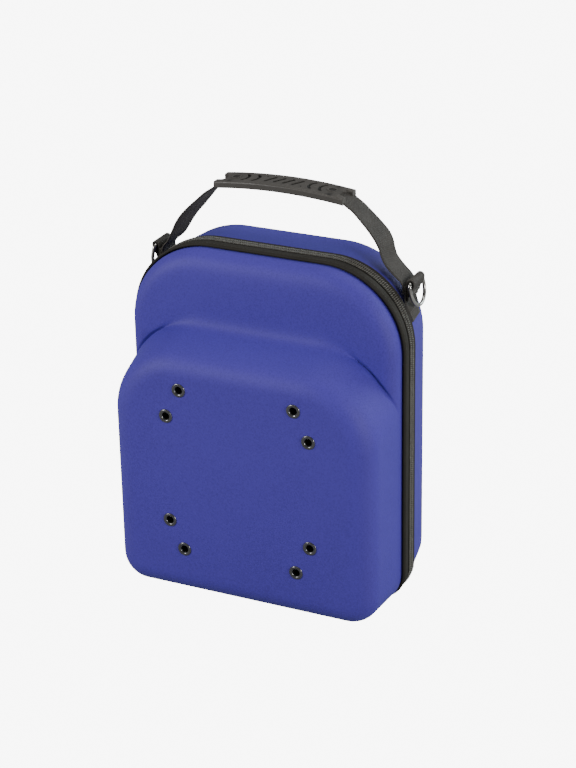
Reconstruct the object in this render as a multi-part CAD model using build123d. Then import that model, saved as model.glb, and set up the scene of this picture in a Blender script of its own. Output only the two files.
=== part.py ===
from build123d import *

import os
from math import asin, atan2, cos, degrees, radians, sin, tan

os.makedirs("parts", exist_ok=True)

# A moulded case for baseball caps: a lid and a back shell, zipped together on three sides.
# X runs to the right, Y from the lid's front to the back, Z up from the floor, all in mm.
# The origin is on the floor, under the middle of the case.

# Case
CASE_WIDTH = 256.0
CASE_HEIGHT = 310.0
LID_DEPTH = 80.0
BACK_DEPTH = 56.0
WALL = 4.5
TOP_RADIUS = 73.0
BASE_RADIUS = 26.0
LID_DRAFT = 4.0
BACK_DRAFT = 8.0
BACK_BASE_RADIUS = 36.0
BACK_EDGE_ROUND = 14.0
LINING = 0.7

# Upper panel of the lid, and the deep pod that holds the crowns of the caps
PANEL_DEPTH = 33.5
PANEL_DROP = 1.6
PANEL_EDGE_ROUND = 13.0
POD_TOP_AT_RIM = 254.5
POD_TOP_AT_FRONT = 225.5
POD_TOP_RADIUS = 65.0
POD_EDGE_ROUND = 20.0

# Zip band, as offsets out from the rim of the shells
BAND_PROUD = 2.2
RIM_RECESS = 0.6
TAPE_TOP = 0.8
GUARD_TOP = 1.6
TEETH_TOP = 1.9
LID_BAND_WIDTH = 16.5
BACK_BAND_WIDTH = 7.5
GUARD_LIP_WIDTH = 2.6
TEETH_WIDTH = 3.6
SLIT_WIDTH = 0.8
RIM_GAP = 0.3
BINDING_WIDTH = 10.0
BINDING_THICKNESS = 1.2

# Fabric hinge along the bottom
HINGE_LENGTH = 176.0
END_TAB_LENGTH = 8.0

# Vent eyelets
EYELET_FLANGE = 12.8
EYELET_BORE = 6.6
EYELET_BARREL = 8.4
EYELET_PROUD = 1.0
EYELET_ROUND = 0.7
EYELET_CENTRE_HEIGHT = 123.0
EYELET_INNER_X = 54.5
EYELET_INNER_Z = 77.0
EYELET_OUTER_X = 68.0
EYELET_OUTER_Z = 50.5
WASHER_DIAMETER = 12.4
WASHER_THICKNESS = 0.8
EYELET_CURL = 0.5

# Webbing: its sewn ends on the case's corners, and the handle that is lapped onto them
WEB_WIDTH = 25.0
WEB_THICKNESS = 1.6
STRAP_SETBACK = 24.0
TAB_START_ANGLE = 13.0
TAB_LEAVE_ANGLE = 18.0
TAB_SEAT = 0.25
SOFT_GAP = 0.3
LAP_INSET = 12.4
LAP_SETBACK = 7.8
LAP_LENGTH = 9.5
LAP_CORNER = 4.0
LAP_LEDGE = 2.0

# The webbing's bends above a lap: in from the lap, up from its top, and the bend radius
LAP_BEND_RADIUS = 16.0
SHOULDER_BEND = (16.6, 20.0, 20.0)
ELBOW_BEND = (22.6, 35.0, 20.0)
WRIST_BEND = (36.6, 51.0, 22.0)

# Grip
GRIP_LENGTH = 122.0
GRIP_WIDTH = 29.0
GRIP_THICKNESS = 6.4
HAND_CLEARANCE = 43.5
GRIP_RISE = 4.0
GRIP_EDGE_ROUND = 1.5
GRIP_NOTCH_WIDTH = 15.0
GRIP_NOTCH_DEPTH = 7.5
GRIP_NOTCH_ROUND = 4.5
GRIP_CUT_DEPTH = 1.5
WEB_ENTRY_X = 56.0
WEB_ENTRY_RADIUS = 9.0
WEB_ARCH_RATIO = 0.95
SLASH_COUNT = 4
SLASH_PITCH = 8.6
SLASH_LENGTH = 15.0
SLASH_WIDTH = 3.2
SLASH_LEAN = 28.0
ARC_PLACES = (24.0, 34.0)
ARC_RADIUS = 9.5
ARC_WIDTH = 2.8
ARC_SWEEP = 96.0
OVAL_PLACE = 45.5
OVAL_RADIUS = 4.6
OVAL_RING = 1.2
OVAL_HEIGHT = 0.5
DIMPLE_PLACE = 18.5
DIMPLE_RADIUS = 0.9
DIMPLE_OFFSET = 6.5

# D-rings and the loops that hold them
RING_INNER_WIDTH = 25.4
RING_WIRE = 3.2
RING_STRAIGHT = 8.0
RING_CORNER = 3.4
RING_TILT = 12.0
LOOP_WIDTH = 23.6
LOOP_PLAY = 0.5
LOOP_THICKNESS = 1.8
LOOP_SETBACK = 1.8
LOOP_TAIL = 16.2

# Stitched backing patches inside the shell
BACKING_THICKNESS = 1.2
BACKING_RISE = 11.0
BACKING_HEIGHT = 30.0
BACKING_WIDTH = 27.0

# Zip sliders and pulls, both on the left side
SLIDER_LENGTH = 14.0
SLIDER_WIDTH = 9.4
SLIDER_PLATE = 1.8
SLIDER_GAP = 0.35
SLIDER_LIP = 1.2
SLIDER_CORNER = 2.8
LOWER_SLIDER_Z = 116.0
SLIDER_SPACING = 24.0
BRIDGE_LENGTH = 9.0
BRIDGE_WIDTH = 2.4
BRIDGE_OPENING = 2.4
BRIDGE_THICKNESS = 1.4
PULL_PIN = 1.6
PULL_GAP = 0.4
PULL_ARM = 1.4
PULL_ARM_LENGTH = 6.5
PULL_WIDTH = 8.0
PULL_LENGTH = 18.0
PULL_THICKNESS = 1.6
PULL_EDGE_ROUND = 2.4

# Elastic strap that holds the caps, on the inside of the back
CAP_STRAP_HEIGHT = 150.0
CAP_STRAP_LENGTH = 196.0
CAP_STRAP_WIDTH = 30.0
CAP_STRAP_THICKNESS = 1.5
CAP_STRAP_BOW = 7.0
CAP_STRAP_BEND = 60.0
CAP_PATCH_LENGTH = 24.0
CAP_PATCH_WIDTH = 34.0
CAP_PATCH_THICKNESS = 1.2

# Places worked out from the sizes above
RIM_Y = (LID_DEPTH + EYELET_PROUD - BACK_DEPTH) / 2
FRONT_Y = RIM_Y - LID_DEPTH
BACK_Y = RIM_Y + BACK_DEPTH
STRAP_Y = RIM_Y + STRAP_SETBACK
BACK_SLOPE = BACK_DRAFT / BACK_DEPTH
SIDE_YAW = degrees(atan2(BACK_DRAFT, BACK_DEPTH))
CORNER_Z = CASE_HEIGHT - TOP_RADIUS
LID_EDGE = RIM_Y - RIM_GAP / 2
BACK_EDGE = RIM_Y + RIM_GAP / 2
LID_BAND_FRONT = RIM_Y - LID_BAND_WIDTH
BACK_BAND_END = RIM_Y + BACK_BAND_WIDTH
HINGE_THICKNESS = BAND_PROUD + RIM_RECESS
LAP_X = CASE_WIDTH / 2 - LAP_INSET
STRAP_END_X = LAP_X + WEB_THICKNESS + SOFT_GAP
TAB_ARC_X = CASE_WIDTH / 2 - BACK_SLOPE * STRAP_SETBACK - TOP_RADIUS
TAB_ARC_RADIUS = TOP_RADIUS + TAB_SEAT + WEB_THICKNESS / 2
TAB_LEAVE_X = TAB_ARC_X + TAB_ARC_RADIUS * cos(radians(TAB_LEAVE_ANGLE))
TAB_LEAVE_Z = CORNER_Z + TAB_ARC_RADIUS * sin(radians(TAB_LEAVE_ANGLE))
STRAP_BEND_Z = TAB_LEAVE_Z + (TAB_LEAVE_X - STRAP_END_X) / tan(radians(TAB_LEAVE_ANGLE))
LAP_BOTTOM = STRAP_BEND_Z + LAP_SETBACK
LAP_TOP = LAP_BOTTOM + LAP_LENGTH
GRIP_LOW = CASE_HEIGHT + HAND_CLEARANCE
LOOP_INNER_RADIUS = RING_WIRE / 2 + LOOP_PLAY
LOOP_OUTER_RADIUS = LOOP_INNER_RADIUS + LOOP_THICKNESS
LOOP_X = STRAP_END_X + WEB_THICKNESS / 2 + LOOP_OUTER_RADIUS
LOOP_Z = STRAP_BEND_Z + LOOP_SETBACK + LOOP_TAIL
UPPER_SLIDER_Z = LOWER_SLIDER_Z + SLIDER_SPACING
PLATE_LOW = TEETH_TOP + SLIDER_GAP
PLATE_TOP = PLATE_LOW + SLIDER_PLATE
PIN_OFFSET = PLATE_TOP + BRIDGE_OPENING / 2
BRIDGE_TOP = PLATE_TOP + BRIDGE_OPENING + BRIDGE_THICKNESS


def corner(centre_x, centre_z, radius, start, end, y):
    """A quarter arc of an outline, seen from the front."""
    spots = []
    for angle in (start, (start + end) / 2, end):
        turn = radians(angle)
        spots.append((centre_x + radius * cos(turn), y, centre_z + radius * sin(turn)))
    return ThreePointArc(*spots)


def arched_face(width, base, top, top_radius, base_radius, y):
    """A face with a flat base, upright sides and a rounded top, square to Y."""
    half = width / 2
    low = base + base_radius
    high = top - top_radius
    edges = [
        Line((-half + base_radius, y, base), (half - base_radius, y, base)),
        corner(half - base_radius, low, base_radius, -90, 0, y),
        Line((half, y, low), (half, y, high)),
        corner(half - top_radius, high, top_radius, 0, 90, y),
        Line((half - top_radius, y, top), (-half + top_radius, y, top)),
        corner(-half + top_radius, high, top_radius, 90, 180, y),
        Line((-half, y, high), (-half, y, low)),
        corner(-half + base_radius, low, base_radius, 180, 270, y),
    ]
    return Face(Wire(edges))


def moulded_body(near, far, near_y, far_y, edge_round):
    """A drafted block between two arched faces, with its far edge rounded."""
    body = loft([arched_face(*near, near_y), arched_face(*far, far_y)], ruled=True)
    far_face = body.faces().sort_by(lambda face: abs(face.center().Y - far_y))[0]
    return fillet(far_face.edges(), edge_round)


def inset_sizes(width, base, top, top_radius, base_radius, inset):
    """The sizes of an arched face drawn in by the same amount all round."""
    return (width - 2 * inset, base + inset, top - inset, top_radius - inset, base_radius - inset)


def panel_body(inset):
    """The shallow upper body of the lid, drawn in by inset."""
    side = LID_DRAFT * PANEL_DEPTH / LID_DEPTH
    near = inset_sizes(CASE_WIDTH, 0, CASE_HEIGHT, TOP_RADIUS, BASE_RADIUS, inset)
    far = inset_sizes(
        CASE_WIDTH - 2 * side, 0, CASE_HEIGHT - PANEL_DROP, TOP_RADIUS, BASE_RADIUS, inset
    )
    return moulded_body(near, far, RIM_Y, RIM_Y - PANEL_DEPTH + inset, PANEL_EDGE_ROUND - inset)


def pod_body(inset):
    """The deep lower body of the lid, drawn in by inset."""
    near = inset_sizes(CASE_WIDTH, 0, POD_TOP_AT_RIM, POD_TOP_RADIUS, BASE_RADIUS, inset)
    far = inset_sizes(
        CASE_WIDTH - 2 * LID_DRAFT, 0, POD_TOP_AT_FRONT, POD_TOP_RADIUS, BASE_RADIUS, inset
    )
    return moulded_body(near, far, RIM_Y, FRONT_Y + inset, POD_EDGE_ROUND - inset)


def lid_body(inset):
    """The whole outside of the lid, drawn in by inset."""
    return panel_body(inset) + pod_body(inset)


def back_body(inset):
    """The whole outside of the back shell, drawn in by inset."""
    near = inset_sizes(CASE_WIDTH, 0, CASE_HEIGHT, TOP_RADIUS, BASE_RADIUS, inset)
    far = inset_sizes(
        CASE_WIDTH - 2 * BACK_DRAFT, 0, CASE_HEIGHT, TOP_RADIUS, BACK_BASE_RADIUS, inset
    )
    return moulded_body(near, far, RIM_Y, BACK_Y - inset, BACK_EDGE_ROUND - inset)


def rim_prism(offset, start_y, end_y):
    """A straight prism on the outline of the rim, moved out by offset."""
    face = arched_face(
        CASE_WIDTH + 2 * offset,
        BAND_PROUD - offset,
        CASE_HEIGHT + offset,
        TOP_RADIUS + offset,
        BASE_RADIUS + offset,
        start_y,
    )
    return extrude(face, amount=end_y - start_y, dir=(0, 1, 0))


def slab(start_y, end_y):
    """A slice of space between two planes square to Y."""
    size = 2 * CASE_HEIGHT
    middle = (start_y + end_y) / 2
    return Pos(0, middle, CASE_HEIGHT / 2) * Box(size, end_y - start_y, size)


def rim_recess(start_y, end_y):
    """What is taken off a shell's rim to let the zip band in."""
    return slab(start_y, end_y) - rim_prism(-RIM_RECESS, start_y, end_y)


def band_strip(inner, outer, start_y, end_y):
    """A strip of the zip band, from one end tab over the top to the other."""
    ring = rim_prism(outer, start_y, end_y) - rim_prism(inner, start_y, end_y)
    gap = HINGE_LENGTH + 2 * END_TAB_LENGTH
    return ring - Pos(0, RIM_Y, 0) * Box(gap, 4 * LID_BAND_WIDTH, 2 * BASE_RADIUS)


def save(shape, name):
    """Write one sub-part to its own file."""
    shape.label = name
    export_step(shape, f"parts/{name}.step")


# Shells and linings

def eyelet_places():
    """The centres of the eight eyelets on the front of the pod."""
    places = []
    for side in (-1, 1):
        for way in (-1, 1):
            places.append((side * EYELET_INNER_X, EYELET_CENTRE_HEIGHT + way * EYELET_INNER_Z))
            places.append((side * EYELET_OUTER_X, EYELET_CENTRE_HEIGHT + way * EYELET_OUTER_Z))
    return places


def front_cylinder(place, radius, start_y, end_y):
    """A cylinder along Y at a place on the front."""
    middle = (start_y + end_y) / 2
    return Pos(place[0], middle, place[1]) * Rot(90, 0, 0) * Cylinder(radius, end_y - start_y)


def eyelet_holes():
    """The holes that the barrels of the eyelets go through."""
    back = FRONT_Y + WALL + LINING + 1
    return [front_cylinder(p, EYELET_BARREL / 2, FRONT_Y - 1, back) for p in eyelet_places()]


def lid_shell():
    """The moulded front half: upper panel and pod in one wall."""
    wall = lid_body(0) - lid_body(WALL)
    wall -= rim_recess(LID_BAND_FRONT, RIM_Y)
    wall -= slab(LID_EDGE, RIM_Y + 1)
    return wall - eyelet_holes()


def lid_lining():
    """The thin cloth bonded to the inside of the lid."""
    cloth = lid_body(WALL) - lid_body(WALL + LINING)
    cloth -= slab(LID_EDGE, RIM_Y + 1)
    return cloth - eyelet_holes()


def back_shell():
    """The moulded back half."""
    wall = back_body(0) - back_body(WALL)
    wall -= rim_recess(RIM_Y, BACK_BAND_END)
    return wall - slab(RIM_Y - 1, BACK_EDGE)


def back_lining():
    """The thin cloth bonded to the inside of the back."""
    cloth = back_body(WALL) - back_body(WALL + LINING)
    return cloth - slab(RIM_Y - 1, BACK_EDGE)


# Zip band

def zip_guard_lid():
    """The folded guard beside the slit, with its raised lip at the front."""
    lip_end = LID_BAND_FRONT + GUARD_LIP_WIDTH
    guard_end = RIM_Y - TEETH_WIDTH - SLIT_WIDTH
    lip = band_strip(TAPE_TOP, BAND_PROUD, LID_BAND_FRONT, lip_end)
    return lip + band_strip(TAPE_TOP, GUARD_TOP, lip_end, guard_end)


def inside_layer(body, thickness, start_y, end_y):
    """A layer on the lining of a shell, between two planes square to Y."""
    outer = WALL + LINING
    return (body(outer) - body(outer + thickness)) & slab(start_y, end_y)


def hinge_half(start_y, end_y):
    """One half of the cloth hinge, in the recess of its shell's rim."""
    size_y = end_y - start_y
    middle = (start_y + end_y) / 2
    return Pos(0, middle, HINGE_THICKNESS / 2) * Box(HINGE_LENGTH, size_y, HINGE_THICKNESS)


def end_tabs(start_y, end_y):
    """The two sewn tabs that close the ends of the zip on one shell."""
    size_y = end_y - start_y
    middle = (start_y + end_y) / 2
    place = (HINGE_LENGTH + END_TAB_LENGTH) / 2
    tabs = []
    for side in (-1, 1):
        tab = Box(END_TAB_LENGTH, size_y, HINGE_THICKNESS)
        tabs.append(Pos(side * place, middle, HINGE_THICKNESS / 2) * tab)
    return Compound(children=tabs)


# Eyelets

def vent_eyelets():
    """Eight eyelets: a flange outside and a barrel through the wall."""
    barrel_end = FRONT_Y + WALL + LINING + WASHER_THICKNESS + EYELET_CURL
    eyelets = []
    for place in eyelet_places():
        flange = front_cylinder(place, EYELET_FLANGE / 2, FRONT_Y - EYELET_PROUD, FRONT_Y)
        flange = fillet(flange.edges().sort_by(Axis.Y)[0], EYELET_ROUND)
        barrel = front_cylinder(place, EYELET_BARREL / 2, FRONT_Y, barrel_end)
        bore = front_cylinder(place, EYELET_BORE / 2, FRONT_Y - 2 * EYELET_PROUD, barrel_end + 1)
        eyelets.append(flange + barrel - bore)
    return Compound(children=eyelets)


def eyelet_washers():
    """Eight washers that the barrels are curled over on the inside."""
    start = FRONT_Y + WALL + LINING
    washers = []
    for place in eyelet_places():
        disc = front_cylinder(place, WASHER_DIAMETER / 2, start, start + WASHER_THICKNESS)
        hole = front_cylinder(place, EYELET_BARREL / 2, start - 1, start + WASHER_THICKNESS + 1)
        washers.append(disc - hole)
    return Compound(children=washers)


# Handle

def ribbon(path, width, thickness):
    """A flat strip along a path in the XZ plane, its width along Y."""
    start = path @ 0
    section = Plane(origin=start, x_dir=(0, 1, 0), z_dir=path % 0) * Rectangle(width, thickness)
    return sweep(section, path=path)


def handle_path():
    """The middle line of the handle's webbing, from the left lap to the right one."""
    half = GRIP_LENGTH / 2
    arch_radius = (half**2 + GRIP_RISE**2) / (2 * GRIP_RISE)
    lean = asin(WEB_ENTRY_X / arch_radius)
    top = GRIP_LOW + GRIP_THICKNESS / 2 + GRIP_RISE
    entry_z = top - arch_radius * (1 - cos(lean))
    apex = (0, top + arch_radius * (1 / cos(lean) - 1))
    right = [(LAP_X, LAP_BOTTOM), (LAP_X, LAP_TOP)]
    bends = [LAP_BEND_RADIUS]
    for inset, rise, radius in (SHOULDER_BEND, ELBOW_BEND, WRIST_BEND):
        right.append((LAP_X - inset, LAP_TOP + rise))
        bends.append(radius)
    right.append((WEB_ENTRY_X, entry_z))
    bends.append(WEB_ENTRY_RADIUS)
    left = [(-x, z) for x, z in right]
    points = [(x, STRAP_Y, z) for x, z in left + [apex] + right[::-1]]
    return FilletPolyline(*points, radius=bends + [WEB_ARCH_RATIO * arch_radius] + bends[::-1])


def handle_webbing(path):
    """One length of webbing, through the grip and down to both laps."""
    strip = ribbon(path, WEB_WIDTH, WEB_THICKNESS)
    ends = strip.faces().sort_by(Axis.Z)[:2]
    corners = [edge for end in ends for edge in end.edges().filter_by(Axis.X)]
    return fillet(corners, LAP_CORNER)


def arch_face(low, high, half):
    """The side view of an arched bar, at the middle of the strap's width."""
    rise = GRIP_RISE
    edges = [
        ThreePointArc((-half, STRAP_Y, low), (0, STRAP_Y, low + rise), (half, STRAP_Y, low)),
        Line((half, STRAP_Y, low), (half, STRAP_Y, high)),
        ThreePointArc((half, STRAP_Y, high), (0, STRAP_Y, high + rise), (-half, STRAP_Y, high)),
        Line((-half, STRAP_Y, high), (-half, STRAP_Y, low)),
    ]
    return Face(Wire(edges))


def arch_bar(low, high, half, width):
    """An arched bar of a given width along Y."""
    return extrude(arch_face(low, high, half), amount=width / 2, dir=(0, 1, 0), both=True)


def grip_cutters():
    """The slots, arcs and dimples that are sunk into the top of the grip."""
    flats = []
    for number in range(SLASH_COUNT):
        x = (number - (SLASH_COUNT - 1) / 2) * SLASH_PITCH
        flats.append(Pos(x, 0) * Rot(0, 0, 90 - SLASH_LEAN) * SlotOverall(SLASH_LENGTH, SLASH_WIDTH))
    for side in (-1, 1):
        for place in ARC_PLACES:
            arc = CenterArc((0, 0), ARC_RADIUS, -ARC_SWEEP / 2, ARC_SWEEP)
            slot = SlotArc(arc, ARC_WIDTH)
            turned = slot if side < 0 else Rot(0, 0, 180) * slot
            flats.append(Pos(side * (place + ARC_RADIUS), 0) * turned)
        flats.append(Pos(side * DIMPLE_PLACE, -side * DIMPLE_OFFSET) * Circle(DIMPLE_RADIUS))
    return flats


def handle_grip(path):
    """The moulded rubber grip round the middle of the webbing."""
    low = GRIP_LOW
    high = low + GRIP_THICKNESS
    half = GRIP_LENGTH / 2
    bar = arch_bar(low, high, half, GRIP_WIDTH)
    long_edges = bar.edges().filter_by(GeomType.CIRCLE)
    bar = fillet(long_edges, GRIP_EDGE_ROUND)
    above = high + 2 * GRIP_RISE
    floor = arch_bar(low - above, high - GRIP_CUT_DEPTH, half + 1, GRIP_WIDTH)
    for flat in grip_cutters():
        prism = extrude(Pos(0, STRAP_Y, low) * flat, amount=above - low, dir=(0, 0, 1))
        bar -= prism - floor
    ring_top = arch_bar(low, high + OVAL_HEIGHT, half, GRIP_WIDTH)
    for side in (-1, 1):
        ring = Circle(OVAL_RADIUS) - Circle(OVAL_RADIUS - OVAL_RING)
        ring = extrude(Pos(side * OVAL_PLACE, STRAP_Y, high) * ring, amount=above - high, dir=(0, 0, 1))
        bar += ring & ring_top
        notch = Box(2 * GRIP_NOTCH_DEPTH, GRIP_NOTCH_WIDTH, 4 * GRIP_THICKNESS)
        notch = fillet(notch.edges().filter_by(Axis.Z), GRIP_NOTCH_ROUND)
        bar -= Pos(side * half, STRAP_Y, high) * notch
    return bar - ribbon(path, WEB_WIDTH + 2 * SOFT_GAP, WEB_THICKNESS + 2 * SOFT_GAP)


# Side anchors, D-rings and loops

def strap_end():
    """The sewn end of the webbing on the right side, twisting flat onto the shell."""
    steps = []
    for angle in (TAB_START_ANGLE, (TAB_START_ANGLE + TAB_LEAVE_ANGLE) / 2, TAB_LEAVE_ANGLE):
        x = TAB_ARC_X + TAB_ARC_RADIUS * cos(radians(angle))
        z = CORNER_Z + TAB_ARC_RADIUS * sin(radians(angle))
        steps.append((x, z, angle, SIDE_YAW))
    steps.append((STRAP_END_X, STRAP_BEND_Z, TAB_LEAVE_ANGLE / 2, 0))
    steps.append((STRAP_END_X, LAP_TOP - LAP_LEDGE, 0, 0))
    sections = []
    for x, z, lean, yaw in steps:
        along = Vector(-sin(radians(lean)), 0, cos(radians(lean)))
        across = Vector(-sin(radians(yaw)), cos(radians(yaw)), 0)
        plane = Plane(origin=(x, STRAP_Y, z), x_dir=across, z_dir=along)
        sections.append(plane * Rectangle(WEB_WIDTH, WEB_THICKNESS))
    return loft(sections, ruled=True)


def d_ring_loop():
    """The short webbing loop on the right side that carries the D-ring."""
    face = Circle(LOOP_OUTER_RADIUS) - Circle(LOOP_INNER_RADIUS)
    tail_x = -LOOP_OUTER_RADIUS + LOOP_THICKNESS / 2
    tail = Pos(tail_x, -LOOP_TAIL / 2) * Rectangle(LOOP_THICKNESS, LOOP_TAIL)
    face += tail - Circle(LOOP_INNER_RADIUS)
    plane = Plane(origin=(LOOP_X, STRAP_Y, LOOP_Z), x_dir=(1, 0, 0), z_dir=(0, -1, 0))
    return extrude(plane * face, amount=LOOP_WIDTH / 2, both=True)


def ring_path():
    """The middle line of a D-ring's wire, hanging down from its straight bar."""
    half = (RING_INNER_WIDTH + RING_WIRE) / 2
    side = RING_CORNER
    turn = side * (1 - cos(radians(45)))
    y = STRAP_Y
    top = LOOP_Z
    x = LOOP_X
    low = top - RING_STRAIGHT
    edges = [
        Line((x, y - half + side, top), (x, y + half - side, top)),
        ThreePointArc((x, y + half - side, top), (x, y + half - turn, top - turn),
                      (x, y + half, top - side)),
        Line((x, y + half, top - side), (x, y + half, low)),
        ThreePointArc((x, y + half, low), (x, y, low - half), (x, y - half, low)),
        Line((x, y - half, low), (x, y - half, top - side)),
        ThreePointArc((x, y - half, top - side), (x, y - half + turn, top - turn),
                      (x, y - half + side, top)),
    ]
    return Wire(edges)


def d_ring():
    """The wire D-ring on the right side, leaning a little out from the case."""
    path = ring_path()
    plane = Plane(origin=path @ 0, z_dir=path % 0)
    ring = sweep(plane * Circle(RING_WIRE / 2), path=path)
    bar = Axis((LOOP_X, STRAP_Y, LOOP_Z), (0, -1, 0))
    return ring.rotate(bar, RING_TILT)


def anchor_backing():
    """The patch inside the shell that the right strap end is sewn through to."""
    half = BACKING_WIDTH / 2
    layer = inside_layer(back_body, BACKING_THICKNESS, STRAP_Y - half, STRAP_Y + half)
    middle = CORNER_Z + BACKING_RISE + BACKING_HEIGHT / 2
    block = Box(CASE_WIDTH / 2, BACKING_WIDTH, BACKING_HEIGHT)
    return layer & Pos(CASE_WIDTH / 2, STRAP_Y, middle) * block


def mirrored(shape):
    """The left-hand copy of a right-hand piece."""
    return mirror(shape, about=Plane.YZ)


# Zip sliders and pulls

def on_left(offset):
    """X of a place that stands out from the left rim by offset."""
    return -(CASE_WIDTH / 2 + offset)


def left_box(low_offset, high_offset, y, size_y, z, size_z):
    """A block on the left side, between two offsets from the rim."""
    x = (on_left(low_offset) + on_left(high_offset)) / 2
    return Pos(x, y, z) * Box(high_offset - low_offset, size_y, size_z)


def zip_slider(z):
    """A slider on the left side: a plate over the teeth, a side lip and a bridge."""
    plate = left_box(PLATE_LOW, PLATE_TOP, RIM_Y, SLIDER_WIDTH, z, SLIDER_LENGTH)
    plate = fillet(plate.edges().filter_by(Axis.X), SLIDER_CORNER)
    lip_y = RIM_Y + TEETH_WIDTH + SLIDER_GAP + SLIDER_LIP / 2
    lip = left_box(TAPE_TOP + SLIDER_GAP, PLATE_LOW, lip_y, SLIDER_LIP, z, SLIDER_LENGTH / 2)
    block = left_box(PLATE_TOP, BRIDGE_TOP, RIM_Y, BRIDGE_WIDTH, z, BRIDGE_LENGTH)
    block = fillet(block.edges().filter_by(Axis.Y).group_by(Axis.X)[0], BRIDGE_THICKNESS)
    window = left_box(
        PLATE_TOP, PLATE_TOP + BRIDGE_OPENING, RIM_Y, 2 * BRIDGE_WIDTH, z,
        BRIDGE_LENGTH - 2 * BRIDGE_THICKNESS)
    return plate + lip + (block - window)


def zip_pull(z):
    """A pull that hangs from a slider's bridge: pin, two arms and a tab."""
    x = on_left(PIN_OFFSET)
    inner = BRIDGE_WIDTH / 2 + PULL_GAP
    span = 2 * (inner + PULL_ARM)
    pull = Pos(x, RIM_Y, z) * Rot(90, 0, 0) * Cylinder(PULL_PIN / 2, span)
    for side in (-1, 1):
        y = RIM_Y + side * (inner + PULL_ARM / 2)
        reach = PULL_ARM_LENGTH + PULL_EDGE_ROUND
        arm = Box(PULL_THICKNESS, PULL_ARM, reach)
        pull += Pos(x, y, z - reach / 2 + PULL_PIN / 2) * arm
    tab_length = PULL_LENGTH - PULL_ARM_LENGTH
    top = z + PULL_PIN / 2 - PULL_ARM_LENGTH
    tab = Pos(x, RIM_Y, top - tab_length / 2) * Box(PULL_THICKNESS, PULL_WIDTH, tab_length)
    tab = fillet(tab.edges().filter_by(Axis.X), PULL_EDGE_ROUND)
    return pull + tab


# Strap for the caps

def cap_strap():
    """The elastic strap on the back wall, bowed a little off the lining."""
    wall_y = BACK_Y - WALL - LINING
    half = CAP_STRAP_LENGTH / 2
    flat = half - CAP_PATCH_LENGTH - CAP_STRAP_BOW
    y = wall_y - CAP_STRAP_THICKNESS / 2
    z = CAP_STRAP_HEIGHT
    start = (-half, y, z)
    path = FilletPolyline(
        start, (-flat, y, z), (-flat / 2, y - CAP_STRAP_BOW, z), (flat / 2, y - CAP_STRAP_BOW, z),
        (flat, y, z), (half, y, z), radius=CAP_STRAP_BEND)
    section = Plane(origin=start, x_dir=(0, 0, 1), z_dir=(1, 0, 0))
    return sweep(section * Rectangle(CAP_STRAP_WIDTH, CAP_STRAP_THICKNESS), path=path)


def cap_strap_patches():
    """The two patches sewn over the ends of the elastic strap."""
    y = BACK_Y - WALL - LINING - CAP_STRAP_THICKNESS - CAP_PATCH_THICKNESS / 2
    place = CAP_STRAP_LENGTH / 2 - CAP_PATCH_LENGTH / 2
    patches = []
    for side in (-1, 1):
        patch = Box(CAP_PATCH_LENGTH, CAP_PATCH_THICKNESS, CAP_PATCH_WIDTH)
        patches.append(Pos(side * place, y, CAP_STRAP_HEIGHT) * patch)
    return Compound(children=patches)


# Everything is built and written here
path = handle_path()
save(lid_shell(), "lid_shell")
save(lid_lining(), "lid_lining")
save(back_shell(), "back_shell")
save(back_lining(), "back_lining")
save(band_strip(-RIM_RECESS, TAPE_TOP, LID_BAND_FRONT, LID_EDGE), "zip_tape_lid")
save(band_strip(-RIM_RECESS, TAPE_TOP, BACK_EDGE, BACK_BAND_END), "zip_tape_back")
save(zip_guard_lid(), "zip_guard_lid")
save(band_strip(TAPE_TOP, TEETH_TOP, RIM_Y - TEETH_WIDTH, LID_EDGE), "zip_teeth_lid")
save(band_strip(TAPE_TOP, TEETH_TOP, BACK_EDGE, RIM_Y + TEETH_WIDTH), "zip_teeth_back")
binding = inside_layer(lid_body, BINDING_THICKNESS, RIM_Y - BINDING_WIDTH, LID_EDGE)
save(binding, "inner_binding_lid")
binding = inside_layer(back_body, BINDING_THICKNESS, BACK_EDGE, RIM_Y + BINDING_WIDTH)
save(binding, "inner_binding_back")
save(hinge_half(LID_BAND_FRONT, LID_EDGE), "hinge_strip_lid")
save(hinge_half(BACK_EDGE, BACK_BAND_END), "hinge_strip_back")
save(end_tabs(LID_BAND_FRONT, LID_EDGE), "zip_end_tabs_lid")
save(end_tabs(BACK_EDGE, BACK_BAND_END), "zip_end_tabs_back")
save(vent_eyelets(), "vent_eyelets")
save(eyelet_washers(), "eyelet_washers")
save(handle_webbing(path), "handle_webbing")
save(handle_grip(path), "handle_grip")
for name, piece in (
    ("strap_end", strap_end()),
    ("d_ring_loop", d_ring_loop()),
    ("d_ring", d_ring()),
    ("anchor_backing", anchor_backing()),
):
    save(piece, f"{name}_right")
    save(mirrored(piece), f"{name}_left")
save(zip_slider(UPPER_SLIDER_Z), "zip_slider_upper")
save(zip_slider(LOWER_SLIDER_Z), "zip_slider_lower")
save(zip_pull(UPPER_SLIDER_Z), "zip_pull_upper")
save(zip_pull(LOWER_SLIDER_Z), "zip_pull_lower")
save(cap_strap(), "cap_strap")
save(cap_strap_patches(), "cap_strap_patches")
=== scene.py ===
from bisect import bisect_left
from math import acos, asin, atan2, ceil, cos, exp, pi, radians, sin, sqrt, tan

import bmesh
import bpy
import numpy as np
from mathutils import Matrix, Vector


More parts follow.
